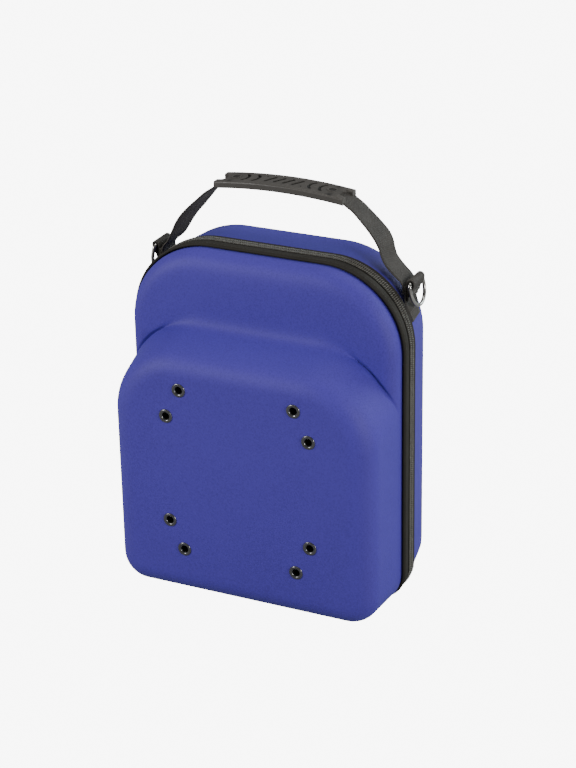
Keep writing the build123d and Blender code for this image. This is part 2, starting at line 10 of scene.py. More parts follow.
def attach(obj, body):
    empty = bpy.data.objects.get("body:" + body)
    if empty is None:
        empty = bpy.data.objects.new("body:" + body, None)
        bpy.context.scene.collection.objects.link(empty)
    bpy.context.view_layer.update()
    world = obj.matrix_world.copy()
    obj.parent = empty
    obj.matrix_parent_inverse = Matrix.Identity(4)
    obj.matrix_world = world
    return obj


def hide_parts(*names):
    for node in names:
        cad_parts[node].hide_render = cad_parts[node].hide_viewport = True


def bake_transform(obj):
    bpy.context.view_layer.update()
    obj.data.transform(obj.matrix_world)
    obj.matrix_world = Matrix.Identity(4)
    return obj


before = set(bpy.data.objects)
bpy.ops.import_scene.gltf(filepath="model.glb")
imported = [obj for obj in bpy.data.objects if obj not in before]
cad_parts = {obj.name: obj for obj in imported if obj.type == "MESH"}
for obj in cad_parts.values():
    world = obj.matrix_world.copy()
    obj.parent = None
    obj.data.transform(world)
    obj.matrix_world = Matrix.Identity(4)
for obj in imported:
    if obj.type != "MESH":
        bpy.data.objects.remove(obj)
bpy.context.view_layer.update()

# A moulded case for baseball caps. All sizes are in mm, as in the frame, and MM turns them to metres.
# X runs to the right, Y to the back and Z up. The lid is the front half, and the case's body the back half.
MM = 0.001

# Case, as the frame has it
CASE_WIDTH = 256.0
CASE_HEIGHT = 310.0
LID_DEPTH = 80.0
BACK_DEPTH = 56.0
RIM_Y = 12.5
TOP_RADIUS = 73.0
BASE_RADIUS = 26.0
LID_DRAFT = 4.0
BACK_DRAFT = 8.0
BACK_BASE_RADIUS = 36.0
BACK_EDGE_ROUND = 14.0
PANEL_DEPTH = 33.5
PANEL_DROP = 1.6
PANEL_EDGE_ROUND = 13.0
POD_TOP_AT_RIM = 254.5
POD_TOP_AT_FRONT = 225.5
POD_TOP_RADIUS = 65.0
POD_EDGE_ROUND = 20.0
WALL = 4.5
LINING = 0.7
LINING_GAP = 0.05
RIM_GAP = 0.15
SIDE_X = CASE_WIDTH / 2
FRONT_Y = RIM_Y - LID_DEPTH
BACK_Y = RIM_Y + BACK_DEPTH
CORNER_Z = CASE_HEIGHT - TOP_RADIUS
BACK_SLOPE = BACK_DRAFT / BACK_DEPTH

# Zip band: its widths, and its heights as offsets out from the rim
BAND_PROUD = 2.2
RIM_RECESS = 0.6
TAPE_TOP = 0.8
GUARD_TOP = 1.6
TEETH_TOP = 1.9
LID_BAND_WIDTH = 16.5
BACK_BAND_WIDTH = 9.2
GUARD_LIP_WIDTH = 2.6
TEETH_WIDTH = 3.6
SLIT_WIDTH = 0.8
BINDING_WIDTH = 10.0
BINDING_THICKNESS = 1.2
COIL_PITCH = 1.9
HINGE_HALF = 88.0
END_TAB_LENGTH = 8.0
BEND_HALF = 3.0
RIM_STEP = 4.0
LID_EDGE = RIM_Y - RIM_GAP
BACK_EDGE = RIM_Y + RIM_GAP
BAND_FRONT = RIM_Y - LID_BAND_WIDTH
BAND_END = RIM_Y + BACK_BAND_WIDTH
LIP_END = BAND_FRONT + GUARD_LIP_WIDTH
GUARD_END = RIM_Y - TEETH_WIDTH - SLIT_WIDTH - 2.1
SLIT_Y = RIM_Y - TEETH_WIDTH - SLIT_WIDTH / 2 - 1.4
HINGE_TOP = BAND_PROUD + RIM_RECESS
BINDING_TOP = WALL + LINING + BINDING_THICKNESS - 0.03

# Webbing
WEB_WIDTH = 25.0
WEB_THICKNESS = 1.6
STRAP_Y = RIM_Y + 24.0
LAP_X = 115.6
LAP_TOP = 291.02
LAP_STITCH_HEIGHTS = (282.8, 284.6, 286.4, 288.2, 290.0)
STRAP_END_X = 117.5
STRAP_BEND_Z = 273.72
STRAP_END_TURNS = (16.0, 16.5, 17.0, 17.5, 18.0)
LOOP_X = 122.2
LOOP_Z = 291.72
LOOP_RADIUS = 3.0
LOOP_WIDTH = 23.6
LOOP_THICKNESS = 1.8
LOOP_TAIL = 16.2
GRIP_LOW = 353.5
GRIP_THICKNESS = 6.4
GRIP_RISE = 4.0
GRIP_HALF = 61.0
GRIP_RADIUS = (GRIP_HALF**2 + GRIP_RISE**2) / (2 * GRIP_RISE)
GRIP_TOP = GRIP_LOW + GRIP_THICKNESS / 2 + GRIP_RISE
WEB_IN_GRIP_HALF = 56.0

# How many steps each stretch of an arched outline, an eyelet and its hole are cut into
FLAT_STEPS = 18
BASE_STEPS = 8
SIDE_STEPS = 20
TOP_STEPS = 30
EYELET_STEPS = 40
HOLE_STEPS = 32

# Stitches. The swell gives pairs of (place along half a stitch, share of the thread's radius there)
STITCH_LENGTH = 2.4
STITCH_GAP = 1.1
THREAD_RADIUS = 0.27
THREAD_FLATNESS = 1.4
STITCH_SWELL = ((-1.0, 0.35), (-0.7, 0.85), (0.0, 1.0), (0.7, 0.85), (1.0, 0.35))


# Making meshes

def between(first, second, share):
    """The number a share of the way from first to second."""
    return first + (second - first) * share


def apart(near, far):
    """How far apart two points are."""
    return sqrt(sum((b - a)**2 for a, b in zip(near, far)))


def link_object(name, data):
    """A new object with its data, in the scene."""
    thing = bpy.data.objects.new(name, data)
    bpy.context.scene.collection.objects.link(thing)
    return thing


def show_mesh(name, mesh, shape):
    """A new smooth object: the bmesh's shape goes into the mesh."""
    shape.to_mesh(mesh)
    shape.free()
    mesh.shade_smooth()
    return link_object(name, mesh)


def add_object(name, points, faces):
    """A new object from points in mm, its faces turned outwards."""
    mesh = bpy.data.meshes.new(name)
    mesh.from_pydata([Vector(p) * MM for p in points], [], faces)
    shape = bmesh.new()
    shape.from_mesh(mesh)
    bmesh.ops.recalc_face_normals(shape, faces=shape.faces)
    return show_mesh(name, mesh, shape)


def add_parts(name, parts):
    """One new object from several pairs of points and faces."""
    points, faces = [], []
    for more, sides in parts:
        faces += [tuple(len(points) + corner for corner in side) for side in sides]
        points += more
    return add_object(name, points, faces)


def skin(rings, back_to_start=False):
    """Points, and quads between closed rings of the same length."""
    count = len(rings[0])
    points = [p for ring in rings for p in ring]
    faces = []
    for row in range(len(rings) if back_to_start else len(rings) - 1):
        near = row * count
        far = (row + 1) % len(rings) * count
        for i in range(count):
            j = (i + 1) % count
            faces.append((near + i, near + j, far + j, far + i))
    return points, faces


def swept(rings):
    """Points and faces of a strip through rings, its two ends closed."""
    points, faces = skin(rings)
    count = len(rings[0])
    return points, faces + [tuple(range(count)), tuple(range(len(points) - count, len(points)))]


def cup(name, outer, inner):
    """A closed shell: outer rings from the rim to a middle point, and inner ones back."""
    points, faces = skin(outer + inner[::-1], back_to_start=True)
    count = len(outer[0])
    middle = len(outer) - 1
    faces = [f for f in faces if not (f[0] // count == middle and f[2] // count == middle + 1)]
    for row in (middle, middle + 1):
        ring = points[row * count:(row + 1) * count]
        points.append(tuple(sum(axis) / count for axis in zip(*ring)))
        faces += [(row * count + i, row * count + (i + 1) % count, len(points) - 1) for i in range(count)]
    return add_object(name, points, faces)


def add_uv(thing, pairs):
    """Coordinates in mm for woven threads: one pair for each point of the mesh."""
    layer = thing.data.uv_layers.new(name="threads")
    for loop in thing.data.loops:
        layer.data[loop.index].uv = pairs[loop.vertex_index]


def soft_box(name, low, high, rounding=0.5):
    """A block of cloth with rounded edges, and its threads' coordinates."""
    shape = bmesh.new()
    bmesh.ops.create_cube(shape, size=1.0)
    for vertex in shape.verts:
        vertex.co = [MM * between(a, b, c + 0.5) for a, b, c in zip(low, high, vertex.co)]
    bmesh.ops.bevel(shape, geom=shape.edges[:], offset=rounding * MM, segments=3, affect="EDGES", profile=0.5)
    thing = show_mesh(name, bpy.data.meshes.new(name), shape)
    sizes = [b - a for a, b in zip(low, high)]
    wide, long = [i for i in range(3) if i != sizes.index(min(sizes))]
    add_uv(thing, [(v.co[wide] / MM, v.co[long] / MM) for v in thing.data.vertices])
    return thing


def joined(name, things):
    """Several objects made into one."""
    with bpy.context.temp_override(active_object=things[0], selected_editable_objects=things):
        bpy.ops.object.join()
    things[0].name = name
    return things[0]


def seam(name, rows, material):
    """Thread stitches along rows. Each row is a line of pairs (spot, way out of the cloth)."""
    stitches = []
    for row in rows:
        spots = [Vector(spot) for spot, _ in row]
        lengths = [0.0]
        for near, far in zip(spots, spots[1:]):
            lengths.append(lengths[-1] + (far - near).length)
        count = max(1, round(lengths[-1] / (STITCH_LENGTH + STITCH_GAP)))
        for i in range(count):
            goal = lengths[-1] * (i + 0.5) / count
            k = max(1, bisect_left(lengths, goal))
            share = (goal - lengths[k - 1]) / (lengths[k] - lengths[k - 1])
            middle = spots[k - 1].lerp(spots[k], share)
            way = (spots[k] - spots[k - 1]).normalized()
            out = Vector(row[k][1]).normalized()
            side = way.cross(out).normalized() * THREAD_FLATNESS
            spokes = [side * cos(pi * turn / 3) + out * sin(pi * turn / 3) for turn in range(6)]
            stitches.append(swept([
                [middle + way * (place * STITCH_LENGTH / 2) + spoke * THREAD_RADIUS * swell for spoke in spokes]
                for place, swell in STITCH_SWELL]))
    thing = add_parts(name, stitches)
    thing.data.materials.append(material)
    return thing


def box_rows(stations, half, lift, cross=False):
    """A box of stitches on a strap's face, from its first station to its last."""
    def spot(station, share):
        middle, across, out = station
        return middle + across * (half * share) + out * lift, out

    rows = [[spot(station, side) for station in stations] for side in (-1, 1)]
    rows += [[spot(station, -1), spot(station, 1)] for station in (stations[0], stations[-1])]
    if cross:
        last = len(stations) - 1
        rows += [
            [spot(station, way * (2 * i / last - 1)) for i, station in enumerate(stations)] for way in (-1, 1)]
    return rows


def finish_piece(thing, body, slot, material, *nodes):
    """Give a piece its body, hide the nodes it stands for, and give it its finish unless it has its own. Its slot
    is not used.
    """
    if material:
        thing.data.materials.clear()
        thing.data.materials.append(material)
    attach(thing, body)
    if nodes:
        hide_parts(*nodes)


# The outline of the case, as points (x, z) that keep step from one depth to the next

def line_points(start, end, steps):
    """Points along a line, without its end."""
    return [tuple(between(a, b, i / steps) for a, b in zip(start, end)) for i in range(steps)]


def arc_points(centre, radius, start, end, steps):
    """Points round an arc, without its end."""
    angles = [radians(between(start, end, i / steps)) for i in range(steps)]
    return [(centre[0] + radius * cos(a), centre[1] + radius * sin(a)) for a in angles]


def arch(width, base, top, top_radius, base_radius):
    """An arched outline: flat base, upright sides, rounded top corners."""
    half = width / 2
    low = base + base_radius
    high = top - top_radius
    return (
        line_points((-half + base_radius, base), (half - base_radius, base), FLAT_STEPS)
        + arc_points((half - base_radius, low), base_radius, -90, 0, BASE_STEPS)
        + line_points((half, low), (half, high), SIDE_STEPS)
        + arc_points((half - top_radius, high), top_radius, 0, 90, TOP_STEPS)
        + line_points((half - top_radius, top), (-half + top_radius, top), FLAT_STEPS)
        + arc_points((-half + top_radius, high), top_radius, 90, 180, TOP_STEPS)
        + line_points((-half, high), (-half, low), SIDE_STEPS)
        + arc_points((-half + base_radius, low), base_radius, 180, 270, BASE_STEPS)
    )


def spoke_ways():
    """For each point of an arch, the way that the upper panel stands out from the pod."""
    turns = [radians(90 * i / TOP_STEPS) for i in range(TOP_STEPS)]
    side = [(0.0, 0.0)] * (BASE_STEPS + SIDE_STEPS)
    right = [(cos(a), sin(a)) for a in turns]
    left = [(-sin(a), cos(a)) for a in turns]
    return [(0.0, 0.0)] * FLAT_STEPS + side + right + [(0.0, 1.0)] * FLAT_STEPS + left + side


WAYS = spoke_ways()


def reach(spot, way, sizes):
    """How far a spot is from the arched outline round it, and how squarely the way meets it."""
    width, _, top, radius, _ = sizes
    if way == (0.0, 0.0):
        return 0.0, 1.0
    x, z, dx, dz = abs(spot[0]), spot[1], abs(way[0]), way[1]
    half = width / 2
    if dx > 1e-6:
        side = (half - x) / dx
        if z + side * dz <= top - radius:
            return max(side, 0.0), dx
    if dz > 1e-6:
        over = (top - z) / dz
        if x + over * dx <= half - radius:
            return over, dz
    from_x, from_z = x - (half - radius), z - (top - radius)
    along = from_x * dx + from_z * dz
    far = -along + sqrt(along**2 - from_x**2 - from_z**2 + radius**2)
    return far, ((from_x + far * dx) * dx + (from_z + far * dz) * dz) / radius


def edge_drop(depth, front, edge):
    """How far a rounded edge has drawn in at a depth."""
    beyond = min(max(depth - (front - edge), 0.0), edge)
    return edge - sqrt(edge**2 - beyond**2)


def pod_sizes(depth, inset):
    """The pod's outline at a depth, drawn in by inset, with its front edge rounded."""
    front = LID_DEPTH - inset
    edge = POD_EDGE_ROUND - inset
    share = depth / front
    drop = edge_drop(depth, front, edge)
    slope = (POD_TOP_AT_RIM - POD_TOP_AT_FRONT) / front
    top = between(POD_TOP_AT_RIM, POD_TOP_AT_FRONT, share) - inset
    centre = POD_TOP_AT_FRONT - inset + edge * slope - edge * sqrt(1 + slope**2)
    if depth > front - edge + edge * sin(atan2(slope, 1)):
        top = min(top, centre + edge - drop)
    return (
        CASE_WIDTH - 2 * LID_DRAFT * share - 2 * inset - 2 * drop, inset + drop, top,
        POD_TOP_RADIUS - inset - drop, BASE_RADIUS - inset - drop)


def panel_sizes(depth, inset):
    """The upper panel's outline at a depth, drawn in by inset, before its edge is rounded."""
    share = depth / (PANEL_DEPTH - inset)
    side = LID_DRAFT * PANEL_DEPTH / LID_DEPTH
    return (
        CASE_WIDTH - 2 * side * share - 2 * inset, inset, CASE_HEIGHT - PANEL_DROP * share - inset,
        TOP_RADIUS - inset, BASE_RADIUS - inset)


def back_sizes(depth, inset):
    """The back shell's outline at a depth, drawn in by inset, with its edge rounded."""
    share = depth / (BACK_DEPTH - inset)
    drop = edge_drop(depth, BACK_DEPTH - inset, BACK_EDGE_ROUND - inset)
    return (
        CASE_WIDTH - 2 * BACK_DRAFT * share - 2 * inset - 2 * drop, inset + drop, CASE_HEIGHT - inset - drop,
        TOP_RADIUS - inset - drop, between(BASE_RADIUS, BACK_BASE_RADIUS, share) - inset - drop)


def lid_ring(depth, inset, lift=0.0):
    """The lid's outline near the rim. A lift raises its base."""
    ring = []
    width, base, top, top_radius, base_radius = pod_sizes(depth, inset)
    panel = panel_sizes(depth, inset)
    for spot, way in zip(arch(width, base + lift, top, top_radius, base_radius), WAYS):
        far, _ = reach(spot, way, panel)
        ring.append((spot[0] + far * way[0], RIM_Y - depth, spot[1] + far * way[1]))
    return ring


def back_ring(depth, inset, lift=0.0):
    """The back's outline at a depth."""
    width, base, top, top_radius, base_radius = back_sizes(depth, inset)
    return [(x, RIM_Y + depth, z) for x, z in arch(width, base + lift, top, top_radius, base_radius)]


# The crease between the upper panel and the pod. It is crisp at the corners, with a groove, and soft in the middle
CREASE_START = 1.1
CREASE_RUN = 16.0
CREASE_GROOVE = 2.6
GROOVE_REACH = 2.1
GROOVE_ROOM = 12.0
GROOVE_PULL = (0.6, 0.7)
SOFT_MIDDLE = 7.0
CRISP_CORNER = 0.4
FINE_STEP = 0.25
LEAST_FINE_STEPS = 60
OUTER_CREASE_RINGS = 110
INNER_CREASE_RINGS = 44
CROWDING = 6
CROWD_REACH = 5


def even_steps(line, count, spot=None):
    """Points spaced evenly along a line, or closer together near a spot."""
    lengths = [0.0]
    for near, far in zip(line, line[1:]):
        crowd = 1 + CROWDING * exp(-(apart(near, spot) / CROWD_REACH)**2) if spot else 1
        lengths.append(lengths[-1] + apart(near, far) * crowd)
    spaced = []
    place = 0
    for i in range(count):
        goal = lengths[-1] * i / (count - 1)
        while place < len(lengths) - 2 and lengths[place + 1] < goal:
            place += 1
        span = max(lengths[place + 1] - lengths[place], 1e-9)
        share = (goal - lengths[place]) / span
        spaced.append(tuple(between(a, b, share) for a, b in zip(line[place], line[place + 1])))
    return spaced


def soften(line, spread):
    """A finely stepped line with its corners softened over a spread, its ends kept."""
    steps = spread / max(apart(line[0], line[1]), apart(line[1], line[2]), 1e-6)
    half = max(1, ceil(3 * steps))
    kernel = np.exp(-0.5 * (np.arange(-half, half + 1) / max(steps, 0.3))**2)
    kernel /= kernel.sum()
    soft = []
    for axis in zip(*line):
        ahead = [2 * axis[0] - v for v in axis[half:0:-1]]
        behind = [2 * axis[-1] - v for v in axis[-2:-half - 2:-1]]
        soft.append(np.convolve(ahead + list(axis) + behind, kernel, "valid"))
    return [tuple(float(v) for v in spot) for spot in zip(*soft)]


def crease_profile(index, inset):
    """From the panel's side over its edge and down to the pod, as pairs (stand-out, depth)."""
    edge = PANEL_EDGE_ROUND - inset
    front = PANEL_DEPTH - inset

    def stand_out(depth):
        return reach(arch(*pod_sizes(depth, inset))[index], WAYS[index], panel_sizes(depth, inset))

    far, square = stand_out(front)
    start = front - edge - CREASE_START
    line = [(stand_out(start)[0], start)]
    for degrees in range(0, 95, 5):
        turn = radians(degrees)
        depth = front - edge + edge * sin(turn)
        out = between(line[0][0], far, (depth - start) / (front - start)) - edge * (1 - cos(turn)) / square
        if out <= 0:
            break
        line.append((out, depth))
    foot = (0.0, line[-1][1])
    line += [foot, (0.0, front + CREASE_RUN)]
    size = sum(apart(a, b) for a, b in zip(line, line[1:]))
    line = even_steps(line, max(LEAST_FINE_STEPS, round(size / FINE_STEP)))
    corner = min(1.0, 2.0 * abs(WAYS[index][0]))
    groove = CREASE_GROOVE * corner * min(1.0, far / GROOVE_ROOM)
    if inset == 0 and groove:
        nears = [max(0.0, 1 - (apart(spot, foot) / GROOVE_REACH)**2)**2 for spot in line]
        pull_in, pull_back = GROOVE_PULL
        line = [
            (out - pull_in * groove * n, depth - pull_back * groove * n) for (out, depth), n in zip(line, nears)]
    line = soften(line, between(SOFT_MIDDLE, CRISP_CORNER, corner))
    return even_steps(line, INNER_CREASE_RINGS if inset else OUTER_CREASE_RINGS, foot)


# How the cloth rolls in beside the zip band: pairs of (distance from the band, depth of the roll)
CLOTH_ROLL = ((0.2, 1.3), (0.45, 0.85), (0.8, 0.5), (1.3, 0.22), (2.0, 0.06), (2.8, 0.0))
ROLL_START = 0.8

# How deep the plain rings of each half lie, and how small those on its flat face are
LID_BAND_MIDDLE = 8.0
LID_LINING_RINGS = (RIM_GAP, LID_BAND_MIDDLE, 14.0)
POD_MIDDLE = 52.0
POD_FRONT = 56.0
BACK_MIDDLES = (14.0, 20.0, 26.0, 32.0, 38.0)
FACE_SHARES = (0.97, 0.9, 0.8, 0.65, 0.5, 0.35, 0.2, 0.08)


def rim_start(ring, band_width, *middles):
    """The outer rings at a half's rim: recessed under the zip band, then the roll of the cloth."""
    rings = [ring(depth, RIM_RECESS, BAND_PROUD) for depth in (RIM_GAP, *middles, band_width - ROLL_START)]
    rings.append(ring(band_width, RIM_RECESS, BAND_PROUD / 2))
    return rings + [ring(band_width + depth, roll, roll) for depth, roll in CLOTH_ROLL]


def edge_depths(front, edge):
    """The depths of the rings over a rounded edge."""
    return [front - edge + edge * sin(radians(9 * step)) for step in range(11)]


def face_rings(edge):
    """Rings that close a flat face, from its edge towards its middle."""
    heights = [z for _, _, z in edge]
    middle = (min(heights) + max(heights)) / 2
    return [[(x * share, y, middle + (z - middle) * share) for x, y, z in edge] for share in FACE_SHARES]


def lid_rings(inset):
    """Rings over the lid's surface, from the rim to the middle of the front."""
    if inset:
        rings = [lid_ring(depth, inset) for depth in LID_LINING_RINGS]
    else:
        rings = rim_start(lid_ring, LID_BAND_WIDTH, LID_BAND_MIDDLE)
    profiles = [crease_profile(i, inset) for i in range(len(WAYS))]
    for spots in zip(*profiles):
        ring = []
        for i, (out, depth) in enumerate(spots):
            x, z = arch(*pod_sizes(depth, inset))[i]
            ring.append((x + out * WAYS[i][0], RIM_Y - depth, z + out * WAYS[i][1]))
        rings.append(ring)
    depths = [POD_MIDDLE - inset / 2, POD_FRONT - inset] + edge_depths(LID_DEPTH - inset, POD_EDGE_ROUND - inset)
    rings += [[(x, RIM_Y - depth, z) for x, z in arch(*pod_sizes(depth, inset))] for depth in depths]
    return rings + face_rings(rings[-1])


def back_rings(inset):
    """Rings over the back shell's surface, from the rim to the middle of the back."""
    rings = [back_ring(RIM_GAP, inset)] if inset else rim_start(back_ring, BACK_BAND_WIDTH)
    depths = [*BACK_MIDDLES, *edge_depths(BACK_DEPTH - inset, BACK_EDGE_ROUND - inset)]
    rings += [back_ring(depth, inset) for depth in depths]
    return rings + face_rings(rings[-1])


# Node groups

def fill(tree, made, values):
    """Give a node's inputs their values. One that is another node's output is linked."""
    for label, value in values.items():
        if isinstance(value, bpy.types.NodeSocket):
            tree.links.new(value, made.inputs[label])
        else:
            made.inputs[label].default_value = value


def node(tree, kind, values, **settings):
    """The outputs of a new node with its settings and its inputs' values."""
    made = tree.nodes.new(kind)
    for key, value in settings.items():
        setattr(made, key, value)
    fill(tree, made, values)
    return made.outputs


def maths(tree, operation, *operands):
    """The result of a maths node. Each operand is an output or a number."""
    return node(tree, "ShaderNodeMath", dict(enumerate(operands)), operation=operation)[0]


def mapped(tree, value, low, high, to_low=0.0, to_high=1.0):
    """A value moved from one range to another, and held in it."""
    ends = {"Value": value, "From Min": low, "From Max": high, "To Min": to_low, "To Max": to_high}
    return node(tree, "ShaderNodeMapRange", ends)["Result"]


def noise(tree, place, scale, detail, roughness):
    """Noise between 0 and 1."""
    values = {"Vector": place, "Scale": scale, "Detail": detail, "Roughness": roughness}
    return node(tree, "ShaderNodeTexNoise", values)["Fac"]


def mixed(tree, share, first, second):
    """The mix of two colours. The colour sockets of its node are numbers 6, 7 and, going out, 2."""
    return node(tree, "ShaderNodeMix", {0: share, 6: first, 7: second}, data_type="RGBA")[2]


def start_group(name, inputs, outputs):
    """A new node group: its tree, its inputs by name and its output node. An input's value tells its kind."""
    group = bpy.data.node_groups.new(name, "ShaderNodeTree")
    for label, value in inputs.items():
        kind = "Vector" if value is None else "Color" if isinstance(value, tuple) else "Float"
        socket = group.interface.new_socket(name=label, in_out="INPUT", socket_type="NodeSocket" + kind)
        if value is not None:
            socket.default_value = value
    for label in outputs:
        kind = "Color" if label == "Colour" else "Float"
        group.interface.new_socket(name=label, in_out="OUTPUT", socket_type="NodeSocket" + kind)
    return group, group.nodes.new("NodeGroupInput").outputs, group.nodes.new("NodeGroupOutput")


def knit_group():
    """Fine knit: a soft grain of loops, finer and coarser, in the part's own space."""
    group, given, out = start_group(
        "fine_knit", {"Vector": None, "Loops": 900.0, "Fuzz": 0.5}, ("Height", "Fleck"))
    place, loops = given["Vector"], given["Loops"]
    grain = {"Vector": place, "Scale": loops, "Smoothness": 0.6, "Randomness": 0.75}
    gaps = node(group, "ShaderNodeTexVoronoi", grain, feature="SMOOTH_F1")["Distance"]
    fuzz = noise(group, place, maths(group, "MULTIPLY", loops, 1.7), 3.0, 0.7)
    fuzzed = maths(group, "MULTIPLY", fuzz, given["Fuzz"])
    fill(group, out, {
        "Height": maths(group, "ADD", maths(group, "SUBTRACT", 1.0, gaps), fuzzed),
        "Fleck": noise(group, place, maths(group, "MULTIPLY", loops, 0.5), 2.0, 0.6)})
    return group


def drift_group():
    """Two shades of one colour that drift into each other, with fine flecks on top. In woven cloth the flecks are
    painted shade in its grooves.
    """
    group, given, out = start_group("shade_drift", {
        "Vector": None, "Colour": (0.5, 0.5, 0.5, 1), "Shade": (0.4, 0.4, 0.4, 1), "Size": 20.0, "Fleck": 0.5,
        "Fleck strength": 0.3}, ("Colour",))
    drift = mapped(group, noise(group, given["Vector"], given["Size"], 4.0, 0.55), 0.3, 0.7)
    fleck = mapped(group, given["Fleck"], 0.3, 0.7, -0.5, 0.5)
    flecks = maths(group, "MULTIPLY", fleck, given["Fleck strength"])
    total = maths(group, "ADD", maths(group, "MULTIPLY", drift, 0.5), flecks)
    share = node(group, "ShaderNodeClamp", {"Value": total})["Result"]
    fill(group, out, {"Colour": mixed(group, share, given["Colour"], given["Shade"])})
    return group


def weave_group():
    """Woven ribs from a pair of coordinates in mm: across the web and along it. The groove shade marks the low
    ground between the ribs for painted shade.
    """
    group, given, out = start_group(
        "woven_ribs", {"UV": None, "Rib width": 1.6, "Pick length": 1.1, "Offset rows": 0.5},
        ("Height", "Groove shade"))

    def result(*operation):
        return maths(group, *operation)

    web = node(group, "ShaderNodeSeparateXYZ", {"Vector": given["UV"]})
    across = result("DIVIDE", web["X"], given["Rib width"])
    row = result("FLOOR", across)
    shift = result("MULTIPLY", result("MODULO", row, 2.0), given["Offset rows"])
    along = result("ADD", result("DIVIDE", web["Y"], given["Pick length"]), shift)
    rib = result("SINE", result("MULTIPLY", result("SUBTRACT", across, row), pi))
    pick = result("SINE", result("MULTIPLY", result("FRACT", along), pi))
    height = result("MULTIPLY", rib, result("ADD", result("MULTIPLY", pick, 0.6), 0.4))
    # Painted shade: the groove shade is highest where the ribs are lowest.
    fill(group, out, {"Height": height, "Groove shade": result("SUBTRACT", 1.0, height)})
    return group


def scuff_and_shade_group():
    """Light rubbing on high spots as a mask, painted shade for the hollows as a mask, and small scratches as a
    height.
    """
    group, given, out = start_group(
        "rubbed_edges_and_hollow_shade", {"Vector": None, "Scratches": 250.0, "Edge start": 0.53, "Edge end": 0.62},
        ("Mask", "Height", "Hollow shade"))
    bend = node(group, "ShaderNodeNewGeometry", {})["Pointiness"]
    edges = mapped(group, bend, given["Edge start"], given["Edge end"])
    marks = noise(group, given["Vector"], given["Scratches"], 5.0, 0.65)
    rubbed = maths(group, "MULTIPLY", edges, mapped(group, marks, 0.42, 0.62))
    # Painted shade: where pointiness is low, the hollows are marked to be darkened.
    fill(group, out, {"Mask": rubbed, "Height": marks, "Hollow shade": mapped(group, bend, 0.49, 0.42)})
    return group


KNIT = knit_group()
DRIFT = drift_group()
WEAVE = weave_group()
SCUFF_AND_SHADE = scuff_and_shade_group()


# Materials

def named(values):
    """Values by the names of their sockets, which have spaces."""
    return {label.replace("_", " "): value for label, value in values.items()}


def opaque(colour, strength=1.0):
    """A colour's four channels, at a strength."""
    return (*[channel * strength for channel in colour], 1)


def start_material(name, **constants):
    """A material, its nodes, its shader, and the coordinates its other nodes hang on."""
    material = bpy.data.materials.new(name)
    material.use_nodes = True
    tree = material.node_tree
    shader = tree.nodes["Principled BSDF"]
    fill(tree, shader, named(constants))
    return material, tree, shader, node(tree, "ShaderNodeTexCoord", {})


def placed(tree, group, **values):
    """The outputs of a group node in a material, with its own values."""
    return node(tree, "ShaderNodeGroup", named(values), node_tree=group)


def add_bump(tree, shader, height, strength, distance):
    """Bump from a height that feeds the shader's normal."""
    bump = node(tree, "ShaderNodeBump", {"Strength": strength, "Distance": distance * MM, "Height": height})
    fill(tree, shader, {"Normal": bump["Normal"]})


def knit_material(name, colour, shade, loops, roughness, sheen, depth, drift=18.0, flecks=0.5, gloss=0.2):
    """Knitted or brushed cloth bonded to a moulded form."""
    material, tree, shader, place = start_material(
        name, Roughness=roughness, Sheen_Weight=sheen, Sheen_Roughness=0.45, Specular_IOR_Level=gloss,
        Sheen_Tint=(0.3, 0.7, 1.0, 1))
    knit = placed(tree, KNIT, Vector=place["Object"], Loops=loops, Fuzz=0.6)
    tint = placed(
        tree, DRIFT, Vector=place["Object"], Colour=opaque(colour), Shade=opaque(shade), Size=drift,
        Fleck=knit["Fleck"], Fleck_strength=flecks)
    fill(tree, shader, {"Base Color": tint["Colour"]})
    add_bump(tree, shader, knit["Height"], 0.55, depth)
    return material


def woven_material(name, colour, shade, rib, pick, roughness, depth, offset=0.5):
    """Woven tape or webbing, whose threads follow the strip, with painted shade darkening the grooves between its
    ribs.
    """
    material, tree, shader, place = start_material(
        name, Roughness=roughness, Sheen_Weight=0.02, Sheen_Roughness=0.4, Specular_IOR_Level=0.22)
    weave = placed(tree, WEAVE, UV=place["UV"], Rib_width=rib, Pick_length=pick, Offset_rows=offset)
    # Painted shade: the weave's grooves pull the colour towards the dark shade.
    tint = placed(
        tree, DRIFT, Vector=place["Object"], Colour=opaque(colour), Shade=opaque(shade), Size=60.0,
        Fleck=weave["Groove shade"], Fleck_strength=0.8)
    fill(tree, shader, {"Base Color": tint["Colour"]})
    add_bump(tree, shader, weave["Height"], 0.8, depth)
    return material


def hard_material(name, colour, worn, roughness, metallic, scratches, bump=0.02, grain=0.1, **constants):
    """Moulded plastic, thread, rubber or metal: lighter along rubbed edges, with painted shade darkening its
    hollows.
    """
    material, tree, shader, place = start_material(name, Metallic=metallic, **constants)
    scuff_and_shade = placed(tree, SCUFF_AND_SHADE, Vector=place["Object"], Scratches=scratches)
    tint = placed(
        tree, DRIFT, Vector=place["Object"], Colour=opaque(colour), Shade=opaque(colour, 0.8), Size=90.0,
        Fleck=scuff_and_shade["Height"], Fleck_strength=0.3)
    rubbed = mixed(tree, scuff_and_shade["Mask"], tint["Colour"], opaque(worn))
    # Painted shade: the hollows are darkened down to 0.12 of the colour.
    fill(tree, shader, {
        "Base Color": mixed(tree, scuff_and_shade["Hollow shade"], rubbed, opaque(colour, 0.12)),
        "Roughness": mapped(tree, scuff_and_shade["Height"], 0.3, 0.7, roughness - grain, roughness + grain)})
    add_bump(tree, shader, scuff_and_shade["Height"], 0.3, bump)
    return material


